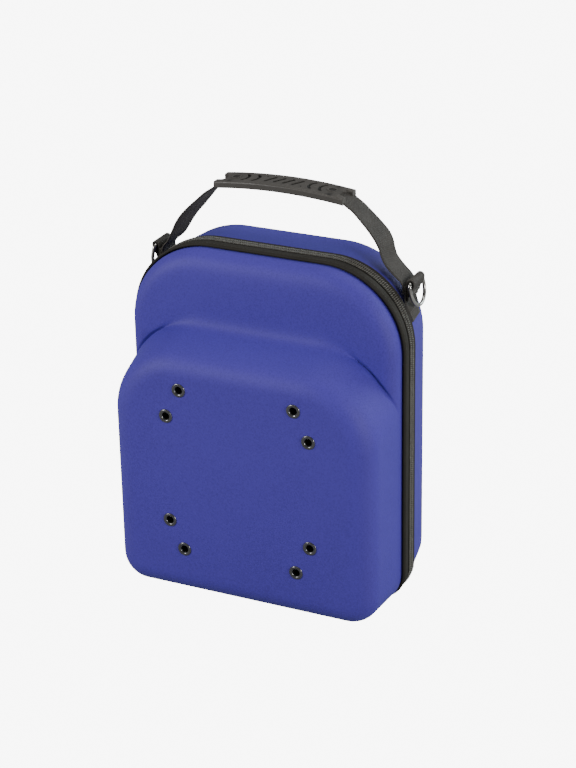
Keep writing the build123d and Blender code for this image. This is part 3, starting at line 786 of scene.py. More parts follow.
shell_cloth = knit_material(
    "blue_knit_cloth", (0.072, 0.048, 0.405), (0.056, 0.036, 0.318), 1500.0, 0.58, 0.06, 0.25, 9.0, 1.3, 0.36)
lining_cloth = knit_material(
    "black_brushed_lining", (0.026, 0.026, 0.03), (0.014, 0.014, 0.016), 700.0, 0.9, 0.15, 0.2)
tape_cloth = woven_material(
    "dark_zip_tape", (0.032, 0.029, 0.023), (0.01, 0.009, 0.0075), 0.9, 0.8, 0.72, 0.1)
ribbed_tape = woven_material(
    "ribbed_zip_tape", (0.034, 0.031, 0.025), (0.008, 0.0075, 0.006), 3.0, 1.9, 0.7, 0.3, 0.0)
web_cloth = woven_material(
    "dark_grey_webbing", (0.078, 0.071, 0.063), (0.012, 0.011, 0.01), 1.7, 2.0, 0.6, 0.45)
patch_cloth = woven_material(
    "black_backing_cloth", (0.03, 0.03, 0.033), (0.015, 0.015, 0.017), 0.7, 0.7, 0.8, 0.1)
elastic_cloth = woven_material(
    "black_elastic", (0.035, 0.035, 0.04), (0.012, 0.012, 0.014), 1.5, 2.2, 0.75, 0.3, 0.0)
dark_thread = hard_material(
    "dark_tape_thread", (0.03, 0.027, 0.022), (0.05, 0.045, 0.04), 0.7, 0.0, 900.0)
thread = hard_material(
    "grey_thread", (0.11, 0.105, 0.095), (0.16, 0.15, 0.14), 0.6, 0.0, 900.0)
coil_plastic = hard_material(
    "dark_nylon_coil", (0.075, 0.069, 0.059), (0.26, 0.245, 0.21), 0.34, 0.0, 900.0)
black_lacquer = hard_material(
    "black_eyelet_lacquer", (0.13, 0.13, 0.135), (0.4, 0.4, 0.4), 0.27, 0.9, 700.0, 0.01, 0.06, Coat_Weight=0.4)
grip_rubber = hard_material(
    "moulded_grip_rubber", (0.07, 0.064, 0.057), (0.12, 0.11, 0.098), 0.48, 0.0, 600.0, 0.08)
ring_nickel = hard_material(
    "nickel_ring", (0.5, 0.485, 0.455), (0.8, 0.78, 0.75), 0.17, 1.0, 400.0, 0.01, 0.08)
slider_metal = hard_material(
    "dark_slider_metal", (0.055, 0.055, 0.058), (0.35, 0.34, 0.33), 0.33, 0.8, 500.0)


# Shells and linings
HOLE_RADIUS = 4.2
HOLE_EDGE_ANGLE = 50
EYELET_MIDDLE_Z = 123.0
EYELET_SPOTS = [
    (side * x, EYELET_MIDDLE_Z + way * z) for side in (-1, 1) for way in (-1, 1)
    for x, z in ((54.5, 77.0), (68.0, 50.5))
]


def circle(x, z, radius, y, steps):
    """Points round a circle that faces along Y."""
    turns = [2 * pi * i / steps for i in range(steps)]
    return [(x + radius * cos(a), y, z + radius * sin(a)) for a in turns]


def cut_holes(thing, cutter):
    """Cut the eyelets' holes through a moulding, with crisp edges."""
    holes = thing.modifiers.new("holes", "BOOLEAN")
    holes.operation = "DIFFERENCE"
    holes.object = cutter
    shape = thing.evaluated_get(bpy.context.evaluated_depsgraph_get())
    mesh = bpy.data.meshes.new_from_object(shape)
    thing.modifiers.clear()
    thing.data = mesh
    mesh.set_sharp_from_angle(angle=radians(HOLE_EDGE_ANGLE))


lid = cup("lid_moulding", lid_rings(0), lid_rings(WALL))
lid_cloth = cup("lid_lining_cloth", lid_rings(WALL + LINING_GAP), lid_rings(WALL + LINING))
back = cup("back_moulding", back_rings(0), back_rings(WALL))
back_cloth = cup("back_lining_cloth", back_rings(WALL + LINING_GAP), back_rings(WALL + LINING))
cutter = add_parts("hole_cutter", [
    swept([circle(x, z, HOLE_RADIUS, y, HOLE_STEPS) for y in (FRONT_Y - 3, FRONT_Y + 12)])
    for x, z in EYELET_SPOTS])
cut_holes(lid, cutter)
cut_holes(lid_cloth, cutter)
bpy.data.objects.remove(cutter)
finish_piece(lid, "lid", "shell_cloth", shell_cloth, "lid_shell")
finish_piece(lid_cloth, "lid", "lining_cloth", lining_cloth, "lid_lining")
finish_piece(back, "case", "shell_cloth", shell_cloth, "back_shell")
finish_piece(back_cloth, "case", "lining_cloth", lining_cloth, "back_lining")


# Strips that follow the rim: the straight and round stretches that the zip runs along

LOW_Z = BAND_PROUD + BASE_RADIUS
ZIP_END_X = HINGE_HALF + END_TAB_LENGTH
RIM_STRETCHES = (
    ("line", (ZIP_END_X, BAND_PROUD), (SIDE_X - BASE_RADIUS, BAND_PROUD)),
    ("arc", (SIDE_X - BASE_RADIUS, LOW_Z), BASE_RADIUS, -90),
    ("line", (SIDE_X, LOW_Z), (SIDE_X, CORNER_Z)),
    ("arc", (SIDE_X - TOP_RADIUS, CORNER_Z), TOP_RADIUS, 0),
    ("line", (SIDE_X - TOP_RADIUS, CASE_HEIGHT), (TOP_RADIUS - SIDE_X, CASE_HEIGHT)),
    ("arc", (TOP_RADIUS - SIDE_X, CORNER_Z), TOP_RADIUS, 90),
    ("line", (-SIDE_X, CORNER_Z), (-SIDE_X, LOW_Z)),
    ("arc", (BASE_RADIUS - SIDE_X, LOW_Z), BASE_RADIUS, 180),
    ("line", (BASE_RADIUS - SIDE_X, BAND_PROUD), (-ZIP_END_X, BAND_PROUD)),
)


def rim_walk(spacing):
    """Places along the rim from one end tab over the top to the other: x, z, outward way, length."""
    places = []
    length = 0.0
    for kind, *sizes in RIM_STRETCHES:
        if kind == "line":
            start, end = sizes
            size = apart(start, end)
            out = ((end[1] - start[1]) / size, -(end[0] - start[0]) / size)
        else:
            centre, radius, first = sizes
            size = radius * pi / 2
        steps = max(1, round(size / spacing))
        for i in range(steps):
            share = i / steps
            if kind == "line":
                spot = (between(start[0], end[0], share), between(start[1], end[1], share))
            else:
                turn = radians(first + 90 * share)
                out = (cos(turn), sin(turn))
                spot = (centre[0] + radius * out[0], centre[1] + radius * out[1])
            places.append((*spot, *out, length + size * share))
        length += size
    places.append((*end, *out, length))
    return places


def rim_rings(section):
    """Rings of a strip's section, given as pairs (y, offset), along the rim."""
    return [
        [(x + out_x * o, y, z + out_z * o) for y, o in section] for x, z, out_x, out_z, _ in rim_walk(RIM_STEP)]


def rim_strip(name, section):
    """A woven strip of a given section along the rim."""
    thing = add_object(name, *swept(rim_rings(section)))
    add_uv(thing, [(y, place[4]) for place in rim_walk(RIM_STEP) for y, _ in section])
    return thing


def soft_section(start, end, low, high, bulge=0.0, steps=6):
    """The section of a flat strip with rounded upper edges and a slight crown."""
    rounding = min((high - low) * 0.6, (end - start) * 0.4)

    def corner(edge, side, turns):
        return [
            (edge + side * rounding * (1 - cos(radians(a))), high - rounding * (1 - sin(radians(a))))
            for a in turns]

    section = [(start, low), (start, high - rounding)] + corner(start, 1, (30, 60, 90))
    for i in range(1, steps):
        share = i / steps
        section.append((between(start + rounding, end - rounding, share), high + bulge * sin(pi * share)))
    return section + corner(end, -1, (90, 60, 30)) + [(end, high - rounding), (end, low)]


tape_section = [
    (BAND_FRONT + 0.3, -RIM_RECESS + 0.1), (BAND_FRONT + 0.3, 0.3), (BAND_FRONT + 0.8, TAPE_TOP),
    (SLIT_Y - 1.6, TAPE_TOP), (SLIT_Y - 1.1, 0.2), (SLIT_Y - 0.8, -0.4), (SLIT_Y + 0.6, -0.4),
    (SLIT_Y + 0.9, 0.2), (SLIT_Y + 1.3, TAPE_TOP), (LID_EDGE - 0.4, TAPE_TOP), (LID_EDGE, 0.4),
    (LID_EDGE, -RIM_RECESS + 0.1),
]
lip_section = soft_section(BAND_FRONT, LIP_END, -RIM_RECESS + 0.2, BAND_PROUD - 0.25, 0.25, 4)[:-1]
fold_section = soft_section(LIP_END, GUARD_END, TAPE_TOP - 0.2, GUARD_TOP - 0.1, 0.2)[2:]
rear_section = soft_section(BACK_EDGE, BAND_END, -RIM_RECESS, TAPE_TOP)
for name, section, body, material, replaced in (
    ("zip_tape_front", tape_section, "lid", tape_cloth, "zip_tape_lid"),
    ("zip_tape_rear", rear_section, "case", ribbed_tape, "zip_tape_back"),
    ("zip_guard", lip_section + fold_section, "lid", tape_cloth, "zip_guard_lid"),
):
    finish_piece(rim_strip(name, section), body, "zip_tape", material, replaced)

# The coil's turns: how many rings and sides each has, its bed's low and high side, its width and its blunt ends
TURN_RINGS = 5
TURN_SIDES = 8
BED_LOW = TAPE_TOP - 0.2
BED_HIGH = TEETH_TOP - 0.85
TURN_WIDTH = 0.62
TURN_BLUNTNESS = 0.8
TURN_START = 0.04
TURN_LENGTH = 0.9


def coil_turn(place, start, end, lean):
    """One turn of the coil, from its start to its end across the tape."""
    x, z, out_x, out_z, _ = place
    rings = []
    for k in range(TURN_RINGS):
        share = k / (TURN_RINGS - 1)
        y = between(start, end, TURN_START + TURN_LENGTH * share)
        swell = sqrt(max(0.0, 1 - TURN_BLUNTNESS * (2 * share - 1)**4))
        ring = []
        for i in range(TURN_SIDES):
            turn = 2 * pi * i / TURN_SIDES
            side = lean * (share - 0.5) + 0.5 * COIL_PITCH * TURN_WIDTH * swell * cos(turn)
            lift = BED_HIGH + (TEETH_TOP - BED_HIGH) * swell * sin(turn)
            ring.append((x + out_x * lift - out_z * side, y, z + out_z * lift + out_x * side))
        rings.append(ring)
    return swept(rings)


def coil(name, start, end, lean):
    """One side of the zip: the coil's turns over a low dark cord."""
    bed = swept(rim_rings(soft_section(min(start, end), max(start, end), BED_LOW, BED_HIGH)))
    thing = add_parts(name, [bed] + [coil_turn(place, start, end, lean) for place in rim_walk(COIL_PITCH)])
    for material in (coil_plastic, tape_cloth):
        thing.data.materials.append(material)
    for face in thing.data.polygons[:len(bed[1])]:
        face.material_index = 1
    return thing


piece = coil("zip_coil_front", LID_EDGE, RIM_Y - TEETH_WIDTH - 0.8, 0.6)
finish_piece(piece, "lid", "zip_coil", None, "zip_teeth_lid")
piece = coil("zip_coil_rear", BACK_EDGE, RIM_Y + TEETH_WIDTH + 0.9, -0.6)
finish_piece(piece, "case", "zip_coil", None, "zip_teeth_back")


# Bindings inside, hinge, end tabs and the band's seams

# How the hinge's edges are rounded: pairs of (distance from the edge, how far it is drawn in)
HINGE_ROUNDING = ((0.0, 0.6), (0.2, 0.25), (0.6, 0.0))
HINGE_EDGE = 0.6
HINGE_STEPS = 24
BEND_STEPS = 14


def binding(name, ring):
    """Folded binding along the inside of a rim."""
    under = WALL + LINING + 0.03
    over = under + BINDING_THICKNESS - 0.06
    section = [
        (RIM_GAP, under), (RIM_GAP, over - 0.4), (RIM_GAP + 0.5, over), (BINDING_WIDTH / 2, over),
        (BINDING_WIDTH - 0.6, over), (BINDING_WIDTH, over - 0.5), (BINDING_WIDTH, under),
    ]
    rings = [ring(depth, inset) for depth, inset in section]
    return add_object(name, *skin(rings, back_to_start=True))


def hinge_strip():
    """One piece of cloth under both rims, finely stepped where it bends."""
    steps = [(BAND_FRONT + far, inset) for far, inset in HINGE_ROUNDING]
    places = [between(BAND_FRONT + 2, RIM_Y - BEND_HALF - 1, i / 4) for i in range(5)]
    places += [between(RIM_Y - BEND_HALF, RIM_Y + BEND_HALF, i / BEND_STEPS) for i in range(BEND_STEPS + 1)]
    steps += [(y, 0.0) for y in places + [BAND_END - 2]]
    steps += [(BAND_END - far, inset) for far, inset in HINGE_ROUNDING[::-1]]
    rings = []
    for y, inset in steps:
        half, low, high = HINGE_HALF - inset, inset, HINGE_TOP - inset
        across = [between(HINGE_EDGE - half, half - HINGE_EDGE, i / HINGE_STEPS) for i in range(HINGE_STEPS + 1)]
        ring = [(x, y, low) for x in across] + [(half, y, low + HINGE_EDGE), (half, y, high - HINGE_EDGE)]
        ring += [(x, y, high) for x in across[::-1]]
        rings.append(ring + [(-half, y, high - HINGE_EDGE), (-half, y, low + HINGE_EDGE)])
    return add_object("hinge_cloth", *swept(rings))


def inward_row(ring):
    """A closed ring as a seam's row, its stitches facing the inside of the case."""
    row = []
    for near, far in zip(ring, ring[1:] + ring[:1]):
        row.append((near, Vector((near[2] - far[2], 0, far[0] - near[0]))))
    return row + row[:1]


def outward_row(y, offset):
    """A row of stitches along the outside of the zip band."""
    return [
        ((x + out_x * offset, y, z + out_z * offset), (out_x, 0, out_z))
        for x, z, out_x, out_z, _ in rim_walk(RIM_STEP)]


hinge = hinge_strip()
hinge.data.materials.append(shell_cloth)
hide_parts("hinge_strip_lid", "hinge_strip_back")
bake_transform(hinge)
for half_name, body, ring, start, end in (
    ("lid", "lid", lid_ring, BAND_FRONT, LID_EDGE), ("back", "case", back_ring, BACK_EDGE, BAND_END),
):
    piece = binding(f"{half_name}_binding", ring)
    finish_piece(piece, body, "zip_tape", tape_cloth, f"inner_binding_{half_name}")
    row = inward_row(ring(BINDING_WIDTH - 1.8, BINDING_TOP))
    finish_piece(seam(f"binding_stitches_{half_name}", [row], thread), body, "zip_tape", None)
    tabs = []
    for side in (-1, 1):
        left, right = sorted((side * HINGE_HALF, side * ZIP_END_X))
        tabs.append(soft_box("tab", (left, start, 0), (right, end, HINGE_TOP)))
    piece = joined(f"end_tabs_{half_name}", tabs)
    finish_piece(piece, body, "zip_tape", tape_cloth, f"zip_end_tabs_{half_name}")
piece = seam("tape_stitches_rear", [outward_row(BAND_END - 1.3, TAPE_TOP)], dark_thread)
finish_piece(piece, "case", "zip_tape", None)
piece = seam("guard_stitches", [outward_row(LIP_END + 1.2, GUARD_TOP - 0.1)], dark_thread)
finish_piece(piece, "lid", "zip_tape", None)


# Eyelets: their section as pairs of (radius, distance behind the lid's front)

EYELET_SECTION = (
    (6.4, 0.0), (6.42, -0.3), (6.2, -0.68), (5.75, -0.93), (5.2, -1.0), (4.6, -0.93), (4.0, -0.7),
    (3.55, -0.3), (3.32, 0.3), (3.3, 1.0), (3.3, 6.2), (3.45, 6.6), (3.75, 6.7), (4.05, 6.5),
    (4.2, 6.1), (4.2, 0.3), (4.6, 0.0),
)


def eyelet(x, z):
    """One eyelet, turned about its own axis."""
    circles = [circle(x, z, radius, FRONT_Y + y, EYELET_STEPS) for radius, y in EYELET_SECTION]
    return skin(list(zip(*circles)), back_to_start=True)


eyelets = add_parts("eyelet_rims", [eyelet(x, z) for x, z in EYELET_SPOTS])
finish_piece(eyelets, "lid", "eyelet_metal", black_lacquer, "vent_eyelets")


# Webbing

# The handle's webbing outside the grip, from each lap up: x, z and its twist in degrees
LEFT_LEG = (
    (-115.6, 281.52, 0), (-115.6, 285.0, 0), (-115.6, 288.5, 0), (-113.6, 292.2, 2), (-109.8, 295.8, 4),
    (-106.0, 300.8, 8), (-102.4, 307.3, 11), (-98.2, 314.9, 13), (-92.6, 322.7, 13), (-86.0, 330.0, 12),
    (-78.0, 338.6, 8), (-70.5, 346.6, 4), (-64.0, 352.0, 0),
)
RIGHT_LEG = (
    (115.6, 281.52, 0), (115.6, 285.0, 0), (115.6, 288.5, 0), (113.4, 292.2, 0), (108.8, 296.4, -1),
    (103.8, 301.2, -2), (99.4, 306.6, -3), (96.8, 312.8, -5), (95.0, 319.2, -7), (91.6, 326.0, -8),
    (85.5, 333.4, -5), (77.6, 341.4, -2), (69.5, 348.9, 0), (64.0, 352.6, 0),
)

# The ring loop's outer layer, from the top of its roll down to where it is sewn: offsets from the roll's middle
LOOP_OUTER_LAYER = ((2.7, -2.4), (1.7, -4.8), (0.4, -7.0), (-0.8, -9.0), (-1.25, -10.6), (-1.3, -12.3))


def strap(name, stations, width, thickness):
    """Webbing through stations: each has a middle, a way across and a way out of the face."""
    half, side = width / 2, thickness / 2
    face = [-half + 0.5, -half + 2.0, -half / 2, 0.0, half / 2, half - 2.0, half - 0.5]
    edge = side * 0.35
    section = [(a, side) for a in face] + [(half, edge), (half, -edge)]
    section += [(a, -side) for a in face[::-1]] + [(-half, -edge), (-half, edge)]
    rings = []
    pairs = []
    length = 0.0
    before = stations[0][0]
    for middle, across, out in stations:
        length += (middle - before).length
        before = middle
        rings.append([tuple(middle + across * a + out * b) for a, b in section])
        pairs += [(a, length) for a, _ in section]
    thing = add_object(name, *swept(rings))
    add_uv(thing, pairs)
    return thing


def ways_along(line):
    """The way that a flat line runs at each of its points."""
    around = zip([line[0]] + line[:-1], line[1:] + [line[-1]])
    return [Vector((far[0] - near[0], far[1] - near[1])).normalized() for near, far in around]


def flat_stations(line, y, spacing):
    """Stations of a strap that lies in one upright plane, its width along Y."""
    total = sum(apart(a, b) for a, b in zip(line, line[1:]))
    line = even_steps(line, max(3, round(total / spacing)))
    return [
        (Vector((x, y, z)), Vector((0, 1, 0)), Vector((-way.y, 0, way.x)))
        for (x, z), way in zip(line, ways_along(line))]


def mirrored_stations(stations):
    """The same stations on the left side."""
    flip = Vector((-1, 1, 1))
    return [(m * flip, a * flip, o * flip) for m, a, o in stations]


def through(points, spacing):
    """A smooth line through points, as rows of numbers about evenly spaced."""
    line = []
    ends = [points[0]] + list(points) + [points[-1]]
    for before, first, last, after in zip(ends, ends[1:], ends[2:], ends[3:]):
        steps = max(2, ceil(apart(first[:2], last[:2]) / spacing))
        for i in range(steps):
            t = i / steps
            line.append(tuple(
                0.5 * (2 * b + (c - a) * t + (2 * a - 5 * b + 4 * c - d) * t**2 + (3 * b - a - 3 * c + d) * t**3)
                for a, b, c, d in zip(before, first, last, after)))
    return line + [tuple(points[-1])]


def grip_stretch(half, steps):
    """The webbing's arc inside the grip."""
    angles = [between(-asin(half / GRIP_RADIUS), asin(half / GRIP_RADIUS), i / steps) for i in range(steps + 1)]
    return [(GRIP_RADIUS * sin(a), GRIP_TOP - GRIP_RADIUS * (1 - cos(a)), 0) for a in angles]


def handle_stations():
    """Stations from the left lap through the grip to the right lap."""
    line = through(LEFT_LEG + tuple(grip_stretch(WEB_IN_GRIP_HALF, 8)) + RIGHT_LEG[::-1], 1.5)
    width = Vector((0, 1, 0))
    stations = []
    for (x, z, twist), way in zip(line, ways_along(line)):
        turn = radians(twist)
        normal = Vector((way.y, 0, -way.x))
        across = width * cos(turn) + normal * sin(turn)
        stations.append((Vector((x, STRAP_Y, z)), across, width * sin(turn) - normal * cos(turn)))
    return stations


def corner_spot(y, radius, turn):
    """A spot (x, z) at a radius and a turn round the centre of the back's right top corner."""
    centre_x = SIDE_X - BACK_SLOPE * (y - RIM_Y) - TOP_RADIUS
    return centre_x + radius * cos(turn), CORNER_Z + radius * sin(turn)


def strap_end_stations():
    """The sewn end on the right: flat on the shell's corner, then upright."""
    yaw = atan2(BACK_DRAFT, BACK_DEPTH)
    radius = TOP_RADIUS + 0.25 + WEB_THICKNESS / 2
    turns = [radians(angle) for angle in STRAP_END_TURNS]
    keys = [(*corner_spot(STRAP_Y, radius, turn), turn, yaw) for turn in turns]
    keys.append((STRAP_END_X, STRAP_BEND_Z, radians(9), 0.0))
    keys.append((STRAP_END_X, LAP_TOP - 2, 0.0, 0.0))
    rows = []
    for i, key in enumerate(keys[:-1]):
        steps = 2 if i < 4 else 8
        rows += [[between(a, b, k / steps) for a, b in zip(key, keys[i + 1])] for k in range(steps)]
    stations = []
    for x, z, lean, turn in rows + keys[-1:]:
        across = Vector((-sin(turn), cos(turn), 0))
        along = Vector((-sin(lean), 0, cos(lean)))
        stations.append((Vector((x, STRAP_Y, z)), across, across.cross(along)))
    return stations


def loop_stations():
    """The fold round the ring's bar on the right: up its inner layer, over and down its outer layer."""
    line = [(LOOP_X - LOOP_RADIUS, LOOP_Z - LOOP_TAIL), (LOOP_X - LOOP_RADIUS, LOOP_Z - 2)]
    for step in range(16):
        turn = radians(180 - 13 * step)
        line.append((LOOP_X + LOOP_RADIUS * cos(turn), LOOP_Z + LOOP_RADIUS * sin(turn)))
    line += [(LOOP_X + x, LOOP_Z + z) for x, z in LOOP_OUTER_LAYER]
    return flat_stations(line, STRAP_Y, 0.8)


laps = []
for side_name, side, flip in (("right", 1, list), ("left", -1, mirrored_stations)):
    tail = flip(strap_end_stations())
    piece = strap(f"sewn_end_{side_name}", tail, WEB_WIDTH, WEB_THICKNESS)
    finish_piece(piece, "case", "webbing", web_cloth, f"strap_end_{side_name}")
    fold = flip(loop_stations())
    piece = strap(f"ring_loop_{side_name}", fold, LOOP_WIDTH, LOOP_THICKNESS - 0.1)
    finish_piece(piece, "case", "webbing", web_cloth, f"d_ring_loop_{side_name}")
    rows = box_rows(tail[2:12], 10.6, WEB_THICKNESS / 2)
    rows += box_rows(fold[-6:-1], 9.8, LOOP_THICKNESS / 2 - 0.05, True)
    finish_piece(seam(f"strap_stitches_{side_name}", rows, thread), "case", "webbing", None)
    face_x = side * (LAP_X - WEB_THICKNESS / 2)
    lap = [
        (Vector((face_x, STRAP_Y, z)), Vector((0, 1, 0)), Vector((-side, 0, 0))) for z in LAP_STITCH_HEIGHTS]
    laps.append(seam("lap_stitches", box_rows(lap, 10.4, 0.0, True), thread))
handle = strap("handle_strap", handle_stations(), WEB_WIDTH, WEB_THICKNESS)
handle.data.materials.append(web_cloth)
handle = joined("handle_strap", [handle] + laps)
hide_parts("handle_webbing")
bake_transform(handle)


# Inside: backing patches and the strap for the caps

BACKING_DEPTHS = (23.0, 23.3, 30.0, 36.5, 43.0, 49.7, 50.0)
BACKING_GAP = 0.02
BACKING_TOP = 1.17
BACKING_LOW, BACKING_HIGH = 11.2, 40.8
BACKING_STITCH_LOW, BACKING_STITCH_HIGH = 14.0, 38.0
INNER_RADIUS = TOP_RADIUS - WALL - LINING
CAP_STRAP_Z = 150.0
CAP_STRAP_WIDTH = 30.0
CAP_STRAP_THICKNESS = 1.5
CAP_STRAP_LINE = ((98.0, 0), (67.0, 0), (33.5, 7))
CAP_STRAP_BEND = 60.0
CAP_PATCH_X = 86.0
CAP_PATCH_HALF_WIDTH = 12
CAP_PATCH_HALF_HEIGHT = 17
CAP_PATCH_FRONT, CAP_PATCH_BACK = 1.95, 0.75
CAP_STITCH_HEIGHTS = (-14.5, -7.25, 0.0, 7.25, 14.5)
WALL_Y = BACK_Y - WALL - LINING - 0.8


def corner_turns(radius, low, high, steps):
    """Turns round the inside of the back's corner, between two heights above its centre."""
    return [between(asin(low / radius), asin(high / radius), i / steps) for i in range(steps + 1)]


def backing_patch(name, side):
    """A patch on the inside of the back's corner, where a strap end is sewn through."""
    rows = []
    for y in BACKING_DEPTHS:
        faces = []
        for out in (BACKING_GAP, BACKING_TOP):
            radius = INNER_RADIUS - out
            spots = [corner_spot(y, radius, turn) for turn in corner_turns(radius, BACKING_LOW, BACKING_HIGH, 10)]
            faces.append([(side * x, y, z) for x, z in spots])
        rows.append(faces[0] + faces[1][::-1])
    points, faces = swept(rows)
    thing = add_object(name, points, faces)
    add_uv(thing, [(p[1], p[2]) for p in points])
    return thing


def backing_stations(side):
    """Stations on the face of a backing patch, for its stitches."""
    radius = INNER_RADIUS - BACKING_TOP
    across = Vector((-side * BACK_SLOPE, 1, 0)).normalized()
    stations = []
    for turn in corner_turns(radius, BACKING_STITCH_LOW, BACKING_STITCH_HIGH, 8):
        x, z = corner_spot(STRAP_Y, radius, turn)
        stations.append((Vector((side * x, STRAP_Y, z)), across, Vector((-side * cos(turn), 0, -sin(turn)))))
    return stations


def rounded_path(corners, radius, spacing):
    """Points along a flat line whose corners are rounded, about evenly spaced."""
    line = [corners[0]]
    for before, corner, after in zip(corners, corners[1:], corners[2:]):
        come = (Vector(before) - Vector(corner)).normalized()
        go = (Vector(after) - Vector(corner)).normalized()
        half = acos(max(-1.0, min(1.0, come.dot(go)))) / 2
        reach_out = radius / tan(half)
        centre = Vector(corner) + (come + go).normalized() * radius / sin(half)
        first = Vector(corner) + come * reach_out - centre
        last = Vector(corner) + go * reach_out - centre
        turn = pi - 2 * half
        steps = max(3, ceil(radius * turn / spacing))
        for i in range(steps + 1):
            share = i / steps
            spot = first * sin((1 - share) * turn) + last * sin(share * turn)
            line.append(tuple(centre + spot / sin(turn)))
    line.append(corners[-1])
    return line


for side_name, side in (("right", 1), ("left", -1)):
    piece = backing_patch(f"inside_patch_{side_name}", side)
    finish_piece(piece, "case", "backing_patch", patch_cloth, f"anchor_backing_{side_name}")
    rows = box_rows(backing_stations(side), 11.0, 0.0, True)
    finish_piece(seam(f"patch_stitches_{side_name}", rows, thread), "case", "backing_patch", None)

left_half = [(-x, WALL_Y - out) for x, out in CAP_STRAP_LINE]
right_half = [(x, WALL_Y - out) for x, out in CAP_STRAP_LINE[::-1]]
bow = rounded_path(left_half + right_half, CAP_STRAP_BEND, 2.0)
stations = [
    (Vector((x, y, CAP_STRAP_Z)), Vector((0, 0, 1)), Vector((way.y, -way.x, 0)))
    for (x, y), way in zip(bow, ways_along(bow))]
piece = strap("cap_holding_strap", stations, CAP_STRAP_WIDTH, CAP_STRAP_THICKNESS)
finish_piece(piece, "case", "elastic", elastic_cloth, "cap_strap")
patches = []
rows = []
for x in (-CAP_PATCH_X, CAP_PATCH_X):
    patches.append(soft_box(
        "patch",
        (x - CAP_PATCH_HALF_WIDTH, WALL_Y - CAP_PATCH_FRONT, CAP_STRAP_Z - CAP_PATCH_HALF_HEIGHT),
        (x + CAP_PATCH_HALF_WIDTH, WALL_Y - CAP_PATCH_BACK, CAP_STRAP_Z + CAP_PATCH_HALF_HEIGHT)))
    face = [
        (Vector((x, WALL_Y - CAP_PATCH_FRONT, CAP_STRAP_Z + z)), Vector((1, 0, 0)), Vector((0, -1, 0)))
        for z in CAP_STITCH_HEIGHTS]
    rows += box_rows(face, 9.6, 0.0, True)
finish_piece(joined("cap_strap_ends", patches), "case", "backing_patch", patch_cloth, "cap_strap_patches")
finish_piece(seam("cap_strap_stitches", rows, thread), "case", "backing_patch", None)


# Finishes of the rigid pieces that the frame has in their final shape

def refinish(node_name, material, rounding):
    """A material, and softer or crisper edges, for a piece of the frame."""
    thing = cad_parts[node_name]
    thing.data.materials.clear()
    thing.data.materials.append(material)
    thing.data.shade_smooth()
    if rounding:
        bevel = thing.modifiers.new("edges", "BEVEL")
        bevel.width = rounding * MM
        bevel.segments = 2
        bevel.limit_method = "ANGLE"
        bevel.angle_limit = radians(35)
        bevel.harden_normals = True
    else:
        split = thing.modifiers.new("edges", "EDGE_SPLIT")
        split.split_angle = radians(40)


for material, rounding, *node_names in (
    (grip_rubber, 0.35, "handle_grip"),
    (ring_nickel, 0.0, "d_ring_left", "d_ring_right"),
    (slider_metal, 0.25, "zip_slider_upper", "zip_slider_lower", "zip_pull_upper", "zip_pull_lower"),
    (black_lacquer, 0.15, "eyelet_washers"),
):
    for node_name in node_names:
        refinish(node_name, material, rounding)


# Floor, light and camera, in metres

WORLD_LIGHT = 0.2
WORLD_SEEN = 8.2
FLOOR_SIZE = 6.0
CENTRE = (0.0, 0.0, 0.15)


def floor_material():
    """Plain pale paper. It hides nothing that swings below it, and lets the lamps reach that."""
    material, tree, shader, place = start_material("pale_floor", Roughness=0.9, Specular_IOR_Level=0.1)
    tint = placed(
        tree, DRIFT, Vector=place["Object"], Colour=(0.4, 0.4, 0.4, 1), Shade=(0.385, 0.385, 0.385, 1), Size=3.0)
    fill(tree, shader, {"Base Color": tint["Colour"]})
    ray = node(tree, "ShaderNodeLightPath", {})
    clear = node(tree, "ShaderNodeBsdfTransparent", {})["BSDF"]
    let_through = maths(tree, "MAXIMUM", ray["Is Camera Ray"], ray["Is Shadow Ray"])
    choice = node(tree, "ShaderNodeMixShader", {"Fac": let_through, 1: shader.outputs["BSDF"], 2: clear})
    fill(tree, tree.nodes["Material Output"], {"Surface": choice["Shader"]})
    return material


def studio_world():
    """White all round. The camera sees it brighter than it lights."""
    world = bpy.data.worlds.new("studio")
    world.use_nodes = True
    tree = world.node_tree
    ray = node(tree, "ShaderNodeLightPath", {})
    share = maths(tree, "MULTIPLY", ray["Is Camera Ray"], WORLD_SEEN - WORLD_LIGHT)
    fill(tree, tree.nodes["Background"], {
        "Color": (1.0, 1.0, 1.0, 1), "Strength": maths(tree, "ADD", share, WORLD_LIGHT)})
    return world


def area_light(name, place, size, power, colour=(1, 1, 1)):
    """A soft square light that faces the case."""
    lamp = bpy.data.lights.new(name, "AREA")
    lamp.size = size
    lamp.energy = power
    lamp.color = colour
    thing = link_object(name, lamp)
    thing.location = place
    thing.rotation_euler = (Vector(CENTRE) - Vector(place)).to_track_quat("-Z", "Y").to_euler()


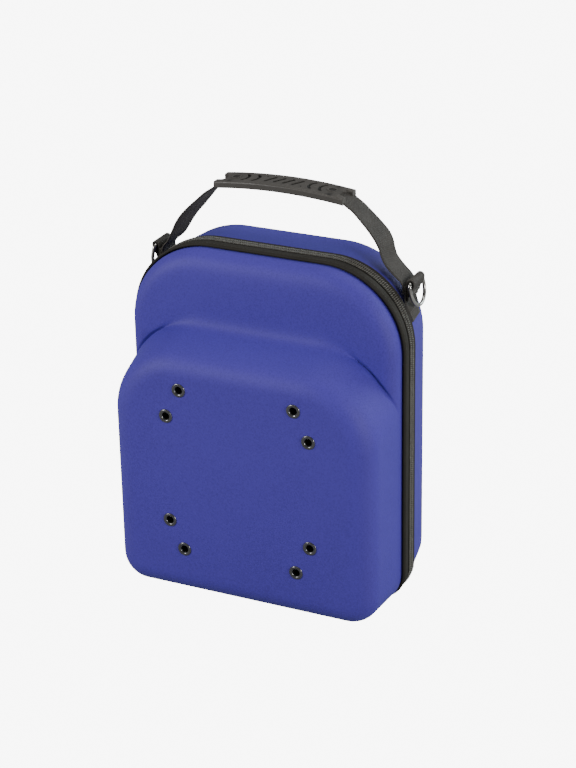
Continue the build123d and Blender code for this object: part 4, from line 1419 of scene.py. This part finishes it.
floor = add_object(
    "studio_floor",
    [(x / MM * FLOOR_SIZE, y / MM * FLOOR_SIZE, -0.05) for x, y in ((-1, -1), (1, -1), (1, 1), (-1, 1))],
    [(0, 1, 2, 3)])
floor.data.materials.append(floor_material())
bpy.context.scene.world = studio_world()
area_light("light_from_left", (-1.5, -1.4, 1.1), 0.7, 31.0)
area_light("light_from_right", (2.05, -0.65, 0.8), 0.6, 27.0)
area_light("light_from_above", (0.2, 0.3, 2.1), 1.0, 10.0)
area_light("light_from_behind", (1.1, 1.6, 1.0), 1.3, 21.0, (0.85, 0.97, 1.0))

# The camera stands where the photo was taken from. The aim's pixel is where the photo shows that spot
AZIMUTH = radians(25.83)
ELEVATION = radians(24.05)
ROLL = radians(-1.10)
FOCAL_PIXELS = 2246.65
PIXELS_PER_MM = 1.13
PIXELS_WIDE, PIXELS_HIGH = 576, 768
AIM = Vector((0.0, 0.0085, 0.155))
AIM_PIXEL = (274.84, 414.44)
DISTANCE = FOCAL_PIXELS / PIXELS_PER_MM * MM
SENSOR = 36.0

view_back = Vector((sin(AZIMUTH) * cos(ELEVATION), -cos(AZIMUTH) * cos(ELEVATION), sin(ELEVATION)))
level_right = Vector((cos(AZIMUTH), sin(AZIMUTH), 0))
level_up = view_back.cross(level_right)
view_right = level_right * cos(ROLL) + level_up * sin(ROLL)
view_up = view_back.cross(view_right)
aside = (AIM_PIXEL[0] - PIXELS_WIDE / 2) * DISTANCE / FOCAL_PIXELS
below = (AIM_PIXEL[1] - PIXELS_HIGH / 2) * DISTANCE / FOCAL_PIXELS
spot = AIM + view_back * DISTANCE - view_right * aside + view_up * below
lens = bpy.data.cameras.new("camera")
lens.sensor_width = SENSOR
lens.lens = SENSOR * FOCAL_PIXELS / PIXELS_HIGH
lens.clip_start, lens.clip_end = 0.05, 20.0
camera = link_object("camera", lens)
camera.matrix_world = Matrix((
    (view_right.x, view_up.x, view_back.x, spot.x),
    (view_right.y, view_up.y, view_back.y, spot.y),
    (view_right.z, view_up.z, view_back.z, spot.z),
    (0, 0, 0, 1),
))
bpy.context.scene.camera = camera
